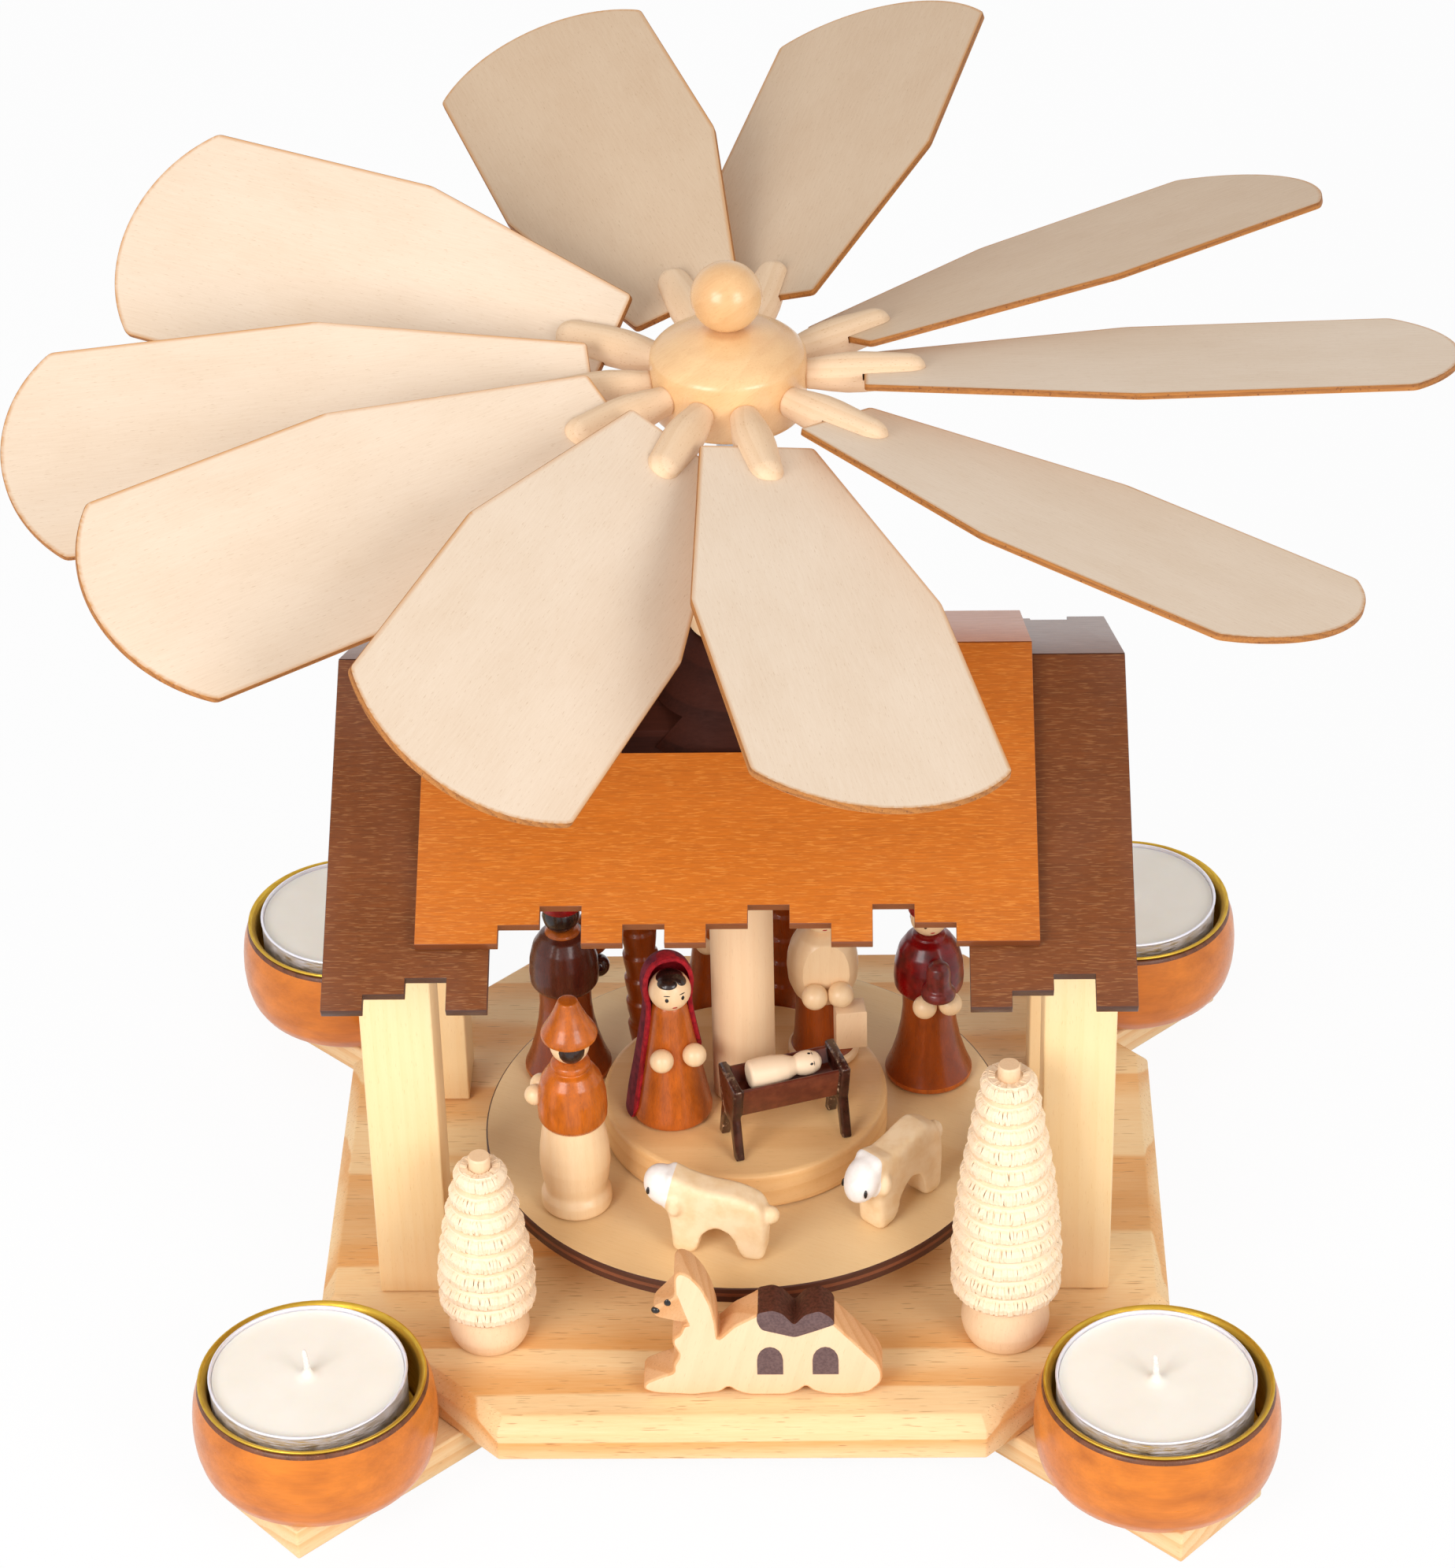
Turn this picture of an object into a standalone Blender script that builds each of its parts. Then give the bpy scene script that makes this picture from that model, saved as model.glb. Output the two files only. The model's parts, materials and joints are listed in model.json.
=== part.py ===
"""Candle carousel: a turning wheel of paddles over a gabled shelter with a turntable of small figures.

Metres, +Z up. The origin is on the spindle's axis, at the underside of the crossing arms. -Y is the front.
"""

import math

import bmesh
import bpy
from mathutils import Matrix

# Gaps between pieces that touch or turn in each other, and the reach of a cutter past what it cuts
GAP = 0.0003
OVERRUN = 0.002
# Points nearer than this are one point, and faces that meet flatter than this angle are one face
WELD = 0.00001
FLAT_ANGLE = math.radians(1.0)

# Crossing arms
ARM_WIDTH = 0.0247
ARM_THICKNESS = 0.007
ARM_END = 0.0134
ARM_A_ANGLE = 43.3
ARM_B_ANGLE = 137.9
ARM_B_OFFSET = 0.0045

# Base plate
BASE_HALF_X = 0.08375
BASE_HALF_Y = 0.0763
BASE_CORNER_CUT = 0.037
BASE_THICKNESS = 0.0091
BASE_CHAMFER = 0.0026
CORNER_ANGLE = 45.0
QUARTER_ANGLE = 90.0

# Posts: their outer faces stand in from the plate's edges
POST_INSET_X = 0.01195
POST_INSET_Y = 0.0385
POST_SIZE_X = 0.0138
POST_SIZE_Y = 0.0144

# Roof
ROOF_PITCH = 27.0
ROOF_THICKNESS = 0.0022
RIDGE_HEIGHT = 0.1247
SIDE_SLOPE_LENGTH = 0.0735
SIDE_OVERHANG = 0.0018
SIDE_UNIT = 0.0076
SIDE_STEP = 0.0033
SIDE_STEPS = (0, 1, 2, 0)
MIDDLE_SLOPE_LENGTH = 0.0626
MIDDLE_CENTRE_X = -0.0011
MIDDLE_UNIT = 0.00762
MIDDLE_STEP = 0.00385
MIDDLE_STEPS = (0, 0, 1, 2, 0, 1, 0, 1, 2, 1, 0, 2, 1, 0, 0)
OPENING_HALF_X = 0.021
OPENING_HALF_Y = 0.0204
SIDE_LEFT_SHIFT = 0.0015

# Bearings
BRIDGE_END_INSET = 0.0116
BRIDGE_HALF_WIDTH = 0.012
BRIDGE_HALF_FLAT = 0.006
BRIDGE_HEIGHT = 0.0084
DOME_RISE = 0.0136
DOME_DROP = 0.0066
DOME_TOP_RADIUS = 0.009
DOME_CLEARANCE = 0.0008
DOME_SHARES = ((0.0, 1.0), (0.10, 0.93), (0.22, 0.72), (0.42, 0.42), (0.68, 0.16), (1.0, 0.0))
BUSH_RADIUS = 0.0085
BUSH_HEIGHT = 0.0037
DOME_SIDES = 28
BUSH_SIDES = 24
BORE_SIDES = 16
LOWER_BEARING_RADIUS = 0.0075
LOWER_BEARING_HEIGHT = 0.005
LOWER_BEARING_FLOOR = 0.0015

# Spindle, column and turntable
SPINDLE_RADIUS = 0.0025
SPINDLE_POINT_LENGTH = 0.0028
SPINDLE_TIP_RADIUS = 0.0006
DISC_LIFT = 0.0096
DISC_RADIUS = 0.0525
DISC_THICKNESS = 0.0035
PLATFORM_RADIUS = 0.0286
PLATFORM_THICKNESS = 0.008
COLUMN_RADIUS = 0.00625
COLUMN_HEADROOM = 0.02354
SPINDLE_SIDES = 12
DISC_SIDES = 48
PLATFORM_SIDES = 36
COLUMN_SIDES = 20

# Wheel: its pegs' axis is above the ridge, heights are from that axis, and reaches from the spindle's axis
PEG_AXIS_RISE = 0.0605
HUB_RADIUS = 0.0143
HUB_BELOW = 0.0066
HUB_ABOVE = 0.0057
HUB_CONE_RISE = 0.0042
HUB_TOP_RADIUS = 0.0046
HUB_BORE_RISE = 0.004
BALL_RADIUS = 0.0065
BALL_TENON_RADIUS = 0.0018
BALL_TENON_LENGTH = 0.0035
PEG_RADIUS = 0.0032
PEG_REACH = 0.036
PEG_BELLY_RADIUS = 0.0037
PEG_BELLY = 0.0225
PEG_NECK_RADIUS = 0.0028
PEG_SHOULDER_CLEARANCE = 0.0007
PEG_NOSE = 0.0018
TENON_RADIUS = 0.0016
TENON_START = 0.009
BLADE_THICKNESS = 0.0012
BLADE_ROOT = 0.0247
BLADE_ROOT_HALF = 0.0105
BLADE_SHOULDER = 0.0735
BLADE_HALF = 0.0221
BLADE_TIP_CORNER = 0.1221
BLADE_REACH = 0.1325
BLADE_ARC_POINTS = 9
HUB_SIDES = 40
PEG_SIDES = 10
BALL_SIDES = 16
BALL_RINGS = 8

# Each paddle's azimuth, pitch about its peg and rise of its peg, in degrees
PADDLE_ANGLES = (
    (108.8, -18.5, 3.9),
    (76.2, -16.8, 5.6),
    (35.6, -16.7, -0.4),
    (0.5, -13.5, 1.3),
    (-38.3, -13.9, -1.5),
    (-77.3, -9.8, -3.1),
    (-110.0, -31.0, -1.8),
    (-142.3, -26.8, -0.3),
    (187.3, -27.0, -3.0),
    (151.9, -36.9, -0.1),
)

# Candle cups: each one's azimuth in degrees, and how far its bowl stands off the plate's cut corner
CUP_ANGLES = {"front_left": 222.6, "front_right": -44.3, "rear_left": 139.7, "rear_right": 43.95}
CUP_CLEARANCES = {"front_left": 0.0003, "front_right": 0.0003, "rear_left": 0.003, "rear_right": 0.0024}
BOWL_RADIUS = 0.0235
BOWL_HEIGHT = 0.0196
BOWL_WALL = 0.0024
BOWL_SHARES = ((0.935, 1.0), (0.965, 0.88), (1.0, 0.6), (0.99, 0.36), (0.94, 0.13), (0.81, 0.0))
LINER_WALL = 0.0006
LINER_LIP = 0.0012
TEALIGHT_RADIUS = 0.019
TEALIGHT_HEIGHT = 0.015
TEALIGHT_STAND_OUT = 0.0023
TIN_WALL = 0.0007
WAX_DEPTH = 0.0022
WICK_RADIUS = 0.0008
WICK_HEIGHT = 0.0075
CUP_SIDES = 24

# Trees: shaving tiers on a turned foot, each at shares of the plate's half sizes
TREE_LEFT_X_SHARE = -0.59
TREE_LEFT_Y_SHARE = -0.662
TREE_LEFT_RADIUS = 0.0098
TREE_LEFT_HEIGHT = 0.0447
TREE_LEFT_TIERS = 8
TREE_LEFT_FOOT = 0.0084
TREE_RIGHT_X_SHARE = 0.609
TREE_RIGHT_Y_SHARE = -0.655
TREE_RIGHT_RADIUS = 0.011
TREE_RIGHT_HEIGHT = 0.0655
TREE_RIGHT_TIERS = 10
TREE_RIGHT_FOOT = 0.0112
TREE_FOOT_RADIUS = 0.0081
TREE_STUB_RADIUS = 0.0022
TREE_STUB_HEIGHT = 0.0025
TREE_CROWN_SHARE = 0.42
TREE_TIER_RISE_SHARE = 0.42
TREE_NOTCH_SHARE = 0.8
TREE_SIDES = 16

# Camel: a sawn board that stands in front of the turntable
CAMEL_X = 0.004
CAMEL_LENGTH = 0.0461
CAMEL_HEIGHT = 0.0307
CAMEL_THICKNESS = 0.0075
CAMEL_SPACING = 0.0087
CAMEL_SHARES = (
    (0.003, 0.02), (0.0, 0.07), (0.06, 0.135), (0.133, 0.17), (0.19, 0.2), (0.21, 0.33), (0.225, 0.5),
    (0.225, 0.6), (0.15, 0.61), (0.06, 0.655), (0.045, 0.7), (0.06, 0.79), (0.11, 0.9), (0.155, 0.965),
    (0.19, 1.0), (0.225, 0.985), (0.27, 0.89), (0.305, 0.76), (0.32, 0.63), (0.322, 0.44), (0.39, 0.54),
    (0.46, 0.62), (0.5, 0.67), (0.547, 0.695), (0.59, 0.665), (0.636, 0.575), (0.68, 0.65), (0.735, 0.685),
    (0.78, 0.645), (0.81, 0.575), (0.893, 0.41), (0.975, 0.26), (1.0, 0.175), (0.993, 0.09), (0.945, 0.02),
    (0.86, 0.0), (0.773, 0.0), (0.71, 0.03), (0.68, 0.075), (0.65, 0.03), (0.6, 0.0), (0.44, 0.0),
    (0.39, 0.03), (0.357, 0.07), (0.325, 0.025), (0.21, 0.0), (0.05, 0.005),
)

# Places on the turntable: shares of the disc's radius, and facing in degrees from the front towards +X
DISC_PLACE_SHARES = {
    "shepherd": (-0.629, -0.486),
    "king_left": (-0.697, 0.343),
    "king_right": (0.709, 0.305),
    "king_rear": (-0.114, 0.724),
    "sheep_left": (-0.107, -0.764),
    "sheep_right": (0.562, -0.52),
    "palm_left": (-0.394, 0.497),
    "palm_right": (0.131, 0.615),
}
# Places on the platform: shares of the platform's radius
PLATFORM_PLACE_SHARES = {
    "hooded_figure": (-0.503, -0.245),
    "lantern_figure": (0.552, 0.42),
    "crib": (0.29, -0.529),
}
FACING_ANGLES = {
    "shepherd": -105.0,
    "king_left": 115.0,
    "king_right": 12.0,
    "king_rear": 5.0,
    "sheep_left": -101.0,
    "sheep_right": -46.0,
    "hooded_figure": 17.0,
    "lantern_figure": 8.0,
    "crib": 18.9,
}

# Sides and rings of the turned figures
FIGURE_SIDES = 16
HOOD_SIDES = 14
HEAD_SIDES = 12
SMALL_HEAD_SIDES = 10
HEAD_RINGS = 8
HAND_SIDES = 8
HAND_RINGS = 6
GIFT_SIDES = 12
INFANT_SIDES = 12

# Hooded figure
HOODED_HEIGHT = 0.0278
HOODED_RADIUS = 0.0081
HOODED_SHARES = (
    (0.0, 1.0), (0.33, 0.98), (0.46, 0.91), (0.52, 0.79), (0.65, 0.58), (0.82, 0.3), (0.98, 0.08),
    (0.96, 0.0),
)
HOODED_HEAD_RADIUS = 0.0042
HOODED_HEAD_RISE = 0.0026
HOODED_HEAD_FORWARD = 0.001
HOOD_RADIUS = 0.0059
HOOD_RISE = 0.0039
HOOD_BACK = 0.0012
CAPE_BACK = 0.0015
CAPE_RADIUS = 0.0089
CAPE_HEIGHT = 0.0295
CAPE_SHARES = ((0.0, 1.0), (0.55, 0.97), (0.66, 0.65), (0.8, 0.33), (1.0, 0.03), (0.98, 0.01))
HOODED_HAND_SPREAD = 0.00335
HOODED_HAND_FORWARD = 0.0057
HOODED_HAND_HEIGHT = 0.017

# Figure with a lantern
LANTERN_FIGURE_HEIGHT = 0.042
LANTERN_FIGURE_RADIUS = 0.0072
LANTERN_FIGURE_SHARES = (
    (0.0, 1.0), (0.3, 0.985), (0.5, 0.92), (0.57, 0.83), (0.5, 0.755), (0.5, 0.735), (0.72, 0.7), (0.9, 0.63),
    (1.0, 0.53), (0.96, 0.43), (0.76, 0.37), (0.78, 0.24), (0.93, 0.07), (0.86, 0.055), (1.0, 0.045), (0.97, 0.0),
)
LANTERN_FACE_RADIUS = 0.0038
LANTERN_FACE_FORWARD = 0.001
LANTERN_FACE_HEIGHT = 0.0346
LANTERN_HAND_SPREAD = 0.0024
LANTERN_HAND_FORWARD = 0.007
LANTERN_HAND_HEIGHT = 0.019
LANTERN_WIDTH = 0.0062
LANTERN_DEPTH = 0.005
LANTERN_HEIGHT = 0.0108
LANTERN_SIDE = 0.0045
LANTERN_FORWARD = 0.0068
LANTERN_BASE = 0.0067

# Shepherd
SHEPHERD_HEIGHT = 0.0495
SHEPHERD_RADIUS = 0.007
SHEPHERD_SHARES = (
    (0.0, 1.0), (0.3, 0.995), (0.36, 0.965), (0.6, 0.89), (0.79, 0.85), (0.77, 0.82), (0.54, 0.812), (0.56, 0.775),
    (0.4, 0.72), (0.55, 0.7), (0.53, 0.68), (0.8, 0.65), (0.95, 0.56), (0.98, 0.47), (0.84, 0.415),
    (0.88, 0.36), (1.0, 0.15), (0.86, 0.095), (1.0, 0.065), (0.97, 0.0),
)
SHEPHERD_HAND_SPREAD = 0.0025
SHEPHERD_HAND_HEIGHT = 0.0268
SHEPHERD_HAND_FORWARD = 0.0071

# Kings
KING_HEIGHT = 0.046
KING_RADIUS = 0.0089
KING_SHARES = (
    (0.0, 1.0), (0.22, 0.985), (0.47, 0.89), (0.4, 0.875), (0.42, 0.83), (0.28, 0.765), (0.44, 0.745),
    (0.62, 0.7), (0.76, 0.6), (0.79, 0.52), (0.72, 0.47), (0.59, 0.45), (0.6, 0.36), (0.72, 0.2),
    (0.97, 0.05), (1.0, 0.02), (0.97, 0.0),
)
KING_HAND_SPREAD = 0.00255
KING_HAND_FORWARD = 0.0075
KING_HAND_HEIGHT = 0.0222
GIFT_RADIUS = 0.0034
GIFT_HEIGHT = 0.0101
GIFT_FORWARD = 0.0083
GIFT_BASE = 0.0241
GIFT_SHARES = ((0.0, 1.0), (0.4, 0.95), (0.68, 0.78), (0.7, 0.32), (1.0, 0.15), (0.95, 0.0))
HAND_RADIUS = 0.0025

# Crib and infant
CRIB_HALF_LENGTH = 0.0107
CRIB_HEIGHT = 0.0169
CRIB_HALF_WIDTH = 0.0056
CRIB_BOARD = 0.0018
CRIB_END_SHARES = (
    (-0.96, 1.0), (0.96, 1.0), (0.75, 0.65), (0.64, 0.51), (1.0, 0.0), (0.68, 0.0), (0.29, 0.41),
    (-0.29, 0.41), (-0.68, 0.0), (-1.0, 0.0), (-0.64, 0.51), (-0.75, 0.65),
)
TROUGH_SHARES = (
    (-0.82, 0.96), (-0.66, 0.96), (-0.42, 0.79), (0.42, 0.79), (0.66, 0.96), (0.82, 0.96),
    (0.5, 0.53), (-0.5, 0.53),
)
INFANT_LENGTH = 0.0152
INFANT_RADIUS = 0.0028
INFANT_SHARES = (
    (0.0, 1.0), (0.6, 0.97), (1.0, 0.88), (1.0, 0.78), (0.66, 0.64), (0.9, 0.5), (1.0, 0.3), (0.95, 0.0),
)

# Sheep
SHEEP_LENGTH = 0.0242
SHEEP_HEIGHT = 0.0195
SHEEP_THICKNESS = 0.0065
SHEEP_BEVEL = 0.0009
SHEEP_SHARES = (
    (-0.434, 0.0), (-0.24, 0.0), (-0.231, 0.113), (-0.19, 0.256), (-0.124, 0.349), (-0.041, 0.369), (0.05, 0.308),
    (0.099, 0.18), (0.112, 0.0), (0.322, 0.0), (0.331, 0.256), (0.355, 0.487), (0.413, 0.564), (0.364, 0.938),
    (0.306, 0.944), (0.207, 0.872), (0.041, 0.81), (-0.207, 0.779), (-0.38, 0.697), (-0.438, 0.59),
    (-0.455, 0.41), (-0.446, 0.205),
)
SHEEP_HEAD_RADIUS = 0.0036
SHEEP_HEAD_FORWARD_SHARE = 0.409
SHEEP_HEAD_HEIGHT_SHARE = 0.738

# Palms: their tops stay this far below the roof, even where the disc's rim passes
PALM_HEADROOM = 0.00608
PALM_RADIUS = 0.0037
PALM_SEGMENTS = 7
PALM_WAIST_SHARE = 0.86
PALM_LIP = 0.0005
PALM_SIDES = 12
PALM_LEAN_ANGLE = 2.0
PALM_LEAVES = 7
PALM_LEAF_REACH = 0.013
PALM_LEAF_VALLEY = 0.0042
PALM_LEAF_THICKNESS = 0.0014
PALM_LEAF_DROOP_SHARE = 0.35

# Heights worked out from the sizes above
BASE_BOTTOM = ARM_THICKNESS + GAP
BASE_TOP = BASE_BOTTOM + BASE_THICKNESS
FLOOR = BASE_TOP + GAP
RIDGE_TOP = BASE_TOP + RIDGE_HEIGHT
PITCH = math.radians(ROOF_PITCH)
SIDE_UNDER_RIDGE = RIDGE_TOP - ROOF_THICKNESS / math.cos(PITCH)
LAP_RISE = (ROOF_THICKNESS + GAP) / math.cos(PITCH)
DISC_BOTTOM = BASE_TOP + DISC_LIFT
DISC_TOP = DISC_BOTTOM + DISC_THICKNESS
PLATFORM_TOP = DISC_TOP + GAP + PLATFORM_THICKNESS
PEG_AXIS = RIDGE_TOP + PEG_AXIS_RISE
BORE = SPINDLE_RADIUS + GAP
CUP_FLOOR = ARM_THICKNESS + GAP


def steep(y):
    """Drop of the roof's slope at y."""
    return math.tan(PITCH) * abs(y)


BRIDGE_TOP = SIDE_UNDER_RIDGE - steep(BRIDGE_HALF_FLAT) - GAP / math.cos(PITCH)
BRIDGE_BOTTOM = BRIDGE_TOP - BRIDGE_HEIGHT
COLUMN_TOP = BRIDGE_BOTTOM - COLUMN_HEADROOM
PALM_HEIGHT = SIDE_UNDER_RIDGE - steep(DISC_RADIUS) - PALM_HEADROOM - DISC_TOP - GAP

# Places worked out from the sizes above
POST_X = BASE_HALF_X - POST_INSET_X - POST_SIZE_X / 2
POST_Y = BASE_HALF_Y - POST_INSET_Y - POST_SIZE_Y / 2
ROOF_END = POST_X + POST_SIZE_X / 2 + SIDE_OVERHANG
SIDE_INNER_X = ROOF_END - SIDE_UNIT * len(SIDE_STEPS)
CORNER_DISTANCE = (BASE_HALF_X + BASE_HALF_Y - BASE_CORNER_CUT) / math.sqrt(2)


def bowl_radius_at(height):
    """The bowl's outer radius at a height above its foot."""
    share = height / BOWL_HEIGHT
    for (upper, high), (lower, low) in zip(BOWL_SHARES, BOWL_SHARES[1:]):
        if share >= low:
            break
    return BOWL_RADIUS * (lower + (upper - lower) * (share - low) / (high - low))


def cup_reach(name):
    """A cup's distance from the spindle: its bowl clears the upright edge of the plate's cut corner."""
    square_on = CORNER_DISTANCE + bowl_radius_at(BASE_THICKNESS - BASE_CHAMFER) + CUP_CLEARANCES[name]
    corner = round((CUP_ANGLES[name] - CORNER_ANGLE) / QUARTER_ANGLE) * QUARTER_ANGLE + CORNER_ANGLE
    return square_on / math.cos(math.radians(CUP_ANGLES[name] - corner))


ARM_REACH = max(cup_reach(name) for name in CUP_ANGLES) + ARM_END


def clear_scene():
    for obj in list(bpy.data.objects):
        bpy.data.objects.remove(obj, do_unlink=True)
    for mesh in list(bpy.data.meshes):
        bpy.data.meshes.remove(mesh)


def new_collection(name):
    collection = bpy.data.collections.new(name)
    bpy.context.scene.collection.children.link(collection)
    return collection


clear_scene()
PARTS = new_collection("candle_carousel")
CUTTERS = new_collection("candle_carousel_cutters")


def new_material(name, colour, roughness, metallic=0.0):
    material = bpy.data.materials.new(name)
    material.use_nodes = True
    shader = material.node_tree.nodes["Principled BSDF"]
    shader.inputs["Base Color"].default_value = (*colour, 1.0)
    shader.inputs["Roughness"].default_value = roughness
    shader.inputs["Metallic"].default_value = metallic
    material.diffuse_color = (*colour, 1.0)
    return material


PINE = new_material("pine", (0.86, 0.62, 0.37), 0.5)
MAPLE = new_material("maple", (0.84, 0.68, 0.48), 0.45)
ORANGE_STAIN = new_material("orange_stain", (0.58, 0.17, 0.02), 0.4)
BROWN_STAIN = new_material("brown_stain", (0.2, 0.07, 0.035), 0.5)
DARK_STAIN = new_material("dark_stain", (0.06, 0.02, 0.012), 0.35)
BOWL_STAIN = new_material("bowl_stain", (0.68, 0.19, 0.03), 0.35)
RED_STAIN = new_material("red_stain", (0.25, 0.01, 0.02), 0.35)
PALE_WOOD = new_material("pale_wood", (0.85, 0.64, 0.4), 0.5)
PLYWOOD = new_material("plywood", (0.83, 0.66, 0.46), 0.55)
SHAVINGS = new_material("shavings", (0.86, 0.7, 0.52), 0.6)
BRASS = new_material("brass", (0.6, 0.4, 0.1), 0.25, 1.0)
STEEL = new_material("steel", (0.6, 0.6, 0.6), 0.3, 1.0)
WAX = new_material("wax", (0.87, 0.83, 0.76), 0.45)


def place(obj, x=0.0, y=0.0, z=0.0, turn=(0.0, 0.0, 0.0), parent=None):
    obj.location = (x, y, z)
    obj.rotation_euler = turn
    if parent is not None:
        obj.parent = parent
    return obj


def add_mesh(name, mesh, material):
    obj = bpy.data.objects.new(name, mesh)
    PARTS.objects.link(obj)
    if material is not None:
        mesh.materials.append(material)
    return obj


def add_axis(name, z=0.0, parent=None):
    """An empty on a moving body's axis, which its pieces hang from."""
    axis = bpy.data.objects.new(name, None)
    PARTS.objects.link(axis)
    return place(axis, z=z, parent=parent)


def turned(name, profile, steps, material, ring=False):
    """A turned piece. The profile is (radius, height) from the top down the outer side, closed for a ring."""
    mesh = bpy.data.meshes.new(name)
    edges = [(i, i + 1) for i in range(len(profile) - 1)]
    if ring:
        edges.append((len(profile) - 1, 0))
    mesh.from_pydata([(radius, 0.0, z) for radius, z in profile], edges, [])
    obj = add_mesh(name, mesh, material)
    screw = obj.modifiers.new("turn", "SCREW")
    screw.axis = "Z"
    screw.steps = steps
    screw.render_steps = steps
    screw.use_merge_vertices = True
    screw.merge_threshold = WELD
    screw.use_smooth_shade = True
    return obj


def turned_shares(name, shares, radius, height, steps, material):
    """A turned piece from shares of its radius and height, with a flat foot at the last share's height."""
    profile = [(r * radius, z * height) for r, z in shares]
    profile.append((0.0, profile[-1][1]))
    return turned(name, profile, steps, material)


def tidy_mesh(mesh):
    shape = bmesh.new()
    shape.from_mesh(mesh)
    bmesh.ops.remove_doubles(shape, verts=shape.verts, dist=WELD)
    bmesh.ops.recalc_face_normals(shape, faces=shape.faces)
    shape.to_mesh(mesh)
    shape.free()


def sawn(name, outline, thickness, material):
    """A flat board: the outline in X and Y, its thickness centred on Z."""
    curve = bpy.data.curves.new(name, "CURVE")
    curve.dimensions = "2D"
    curve.fill_mode = "BOTH"
    curve.extrude = thickness / 2
    spline = curve.splines.new("POLY")
    spline.points.add(len(outline) - 1)
    for point, (x, y) in zip(spline.points, outline):
        point.co = (x, y, 0.0, 1.0)
    spline.use_cyclic_u = True
    guide = bpy.data.objects.new(name + "_outline", curve)
    PARTS.objects.link(guide)
    graph = bpy.context.evaluated_depsgraph_get()
    mesh = bpy.data.meshes.new_from_object(guide.evaluated_get(graph))
    bpy.data.objects.remove(guide, do_unlink=True)
    tidy_mesh(mesh)
    return add_mesh(name, mesh, material)


def block(name, size, material):
    shape = bmesh.new()
    bmesh.ops.create_cube(shape, size=1.0, matrix=Matrix.Diagonal((*size, 1.0)))
    mesh = bpy.data.meshes.new(name)
    shape.to_mesh(mesh)
    shape.free()
    return add_mesh(name, mesh, material)


def ball(name, radius, around, down, material):
    shape = bmesh.new()
    bmesh.ops.create_uvsphere(shape, u_segments=around, v_segments=down, radius=radius)
    mesh = bpy.data.meshes.new(name)
    shape.to_mesh(mesh)
    shape.free()
    mesh.shade_smooth()
    return add_mesh(name, mesh, material)


def rod(name, radius, length, sides):
    """A cutter: a cylinder along +Z from its origin."""
    shape = bmesh.new()
    bmesh.ops.create_cone(
        shape,
        cap_ends=True,
        segments=sides,
        radius1=radius,
        radius2=radius,
        depth=length,
        matrix=Matrix.Translation((0.0, 0.0, length / 2)),
    )
    mesh = bpy.data.meshes.new(name)
    shape.to_mesh(mesh)
    shape.free()
    return add_mesh(name, mesh, None)


def combine(obj, tool, operation):
    """Cuts the tool from the object, or fuses it on, and hides the tool."""
    modifier = obj.modifiers.new(tool.name, "BOOLEAN")
    modifier.operation = operation
    modifier.object = tool
    modifier.solver = "EXACT"
    PARTS.objects.unlink(tool)
    CUTTERS.objects.link(tool)
    tool.hide_render = True
    tool.display_type = "WIRE"
    return obj


def cut(obj, tool):
    return combine(obj, tool, "DIFFERENCE")


def fuse(obj, tool):
    return combine(obj, tool, "UNION")


def mirrored(outline):
    return [(-x, y) for x, y in reversed(outline)]


def cross_bars():
    bars = []
    for name, angle, offset in (
        ("cross_bar_a", ARM_A_ANGLE, 0.0),
        ("cross_bar_b", ARM_B_ANGLE, ARM_B_OFFSET),
    ):
        turn = math.radians(angle)
        bar = block(name, (ARM_REACH * 2, ARM_WIDTH, ARM_THICKNESS), PINE)
        place(bar, -math.sin(turn) * offset, math.cos(turn) * offset, ARM_THICKNESS / 2, (0.0, 0.0, turn))
        bars.append(bar)
    low, high = bars
    notch_height = ARM_THICKNESS / 2 + OVERRUN
    for bar, other, side in ((low, high, 1), (high, low, -1)):
        notch = block(bar.name + "_halving", (ARM_WIDTH * 2, ARM_WIDTH + GAP * 2, notch_height), None)
        z = ARM_THICKNESS / 2 + side * (notch_height / 2 - GAP / 2)
        cut(bar, place(notch, other.location.x, other.location.y, z, other.rotation_euler))


def base_plate():
    straight_x = BASE_HALF_X - BASE_CORNER_CUT
    straight_y = BASE_HALF_Y - BASE_CORNER_CUT
    outline = [
        (straight_x, -BASE_HALF_Y),
        (BASE_HALF_X, -straight_y),
        (BASE_HALF_X, straight_y),
        (straight_x, BASE_HALF_Y),
        (-straight_x, BASE_HALF_Y),
        (-BASE_HALF_X, straight_y),
        (-BASE_HALF_X, -straight_y),
        (-straight_x, -BASE_HALF_Y),
    ]
    plate = sawn("base_plate", outline, BASE_THICKNESS, PINE)
    shape = bmesh.new()
    shape.from_mesh(plate.data)
    bmesh.ops.dissolve_limit(shape, angle_limit=FLAT_ANGLE, verts=shape.verts, edges=shape.edges)
    rim = [edge for edge in shape.edges if all(vert.co.z > 0 for vert in edge.verts)]
    bmesh.ops.bevel(
        shape,
        geom=rim,
        offset=BASE_CHAMFER,
        segments=1,
        profile=0.5,
        affect="EDGES",
        material=-1,
    )
    shape.to_mesh(plate.data)
    shape.free()
    place(plate, z=BASE_BOTTOM + BASE_THICKNESS / 2)


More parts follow.
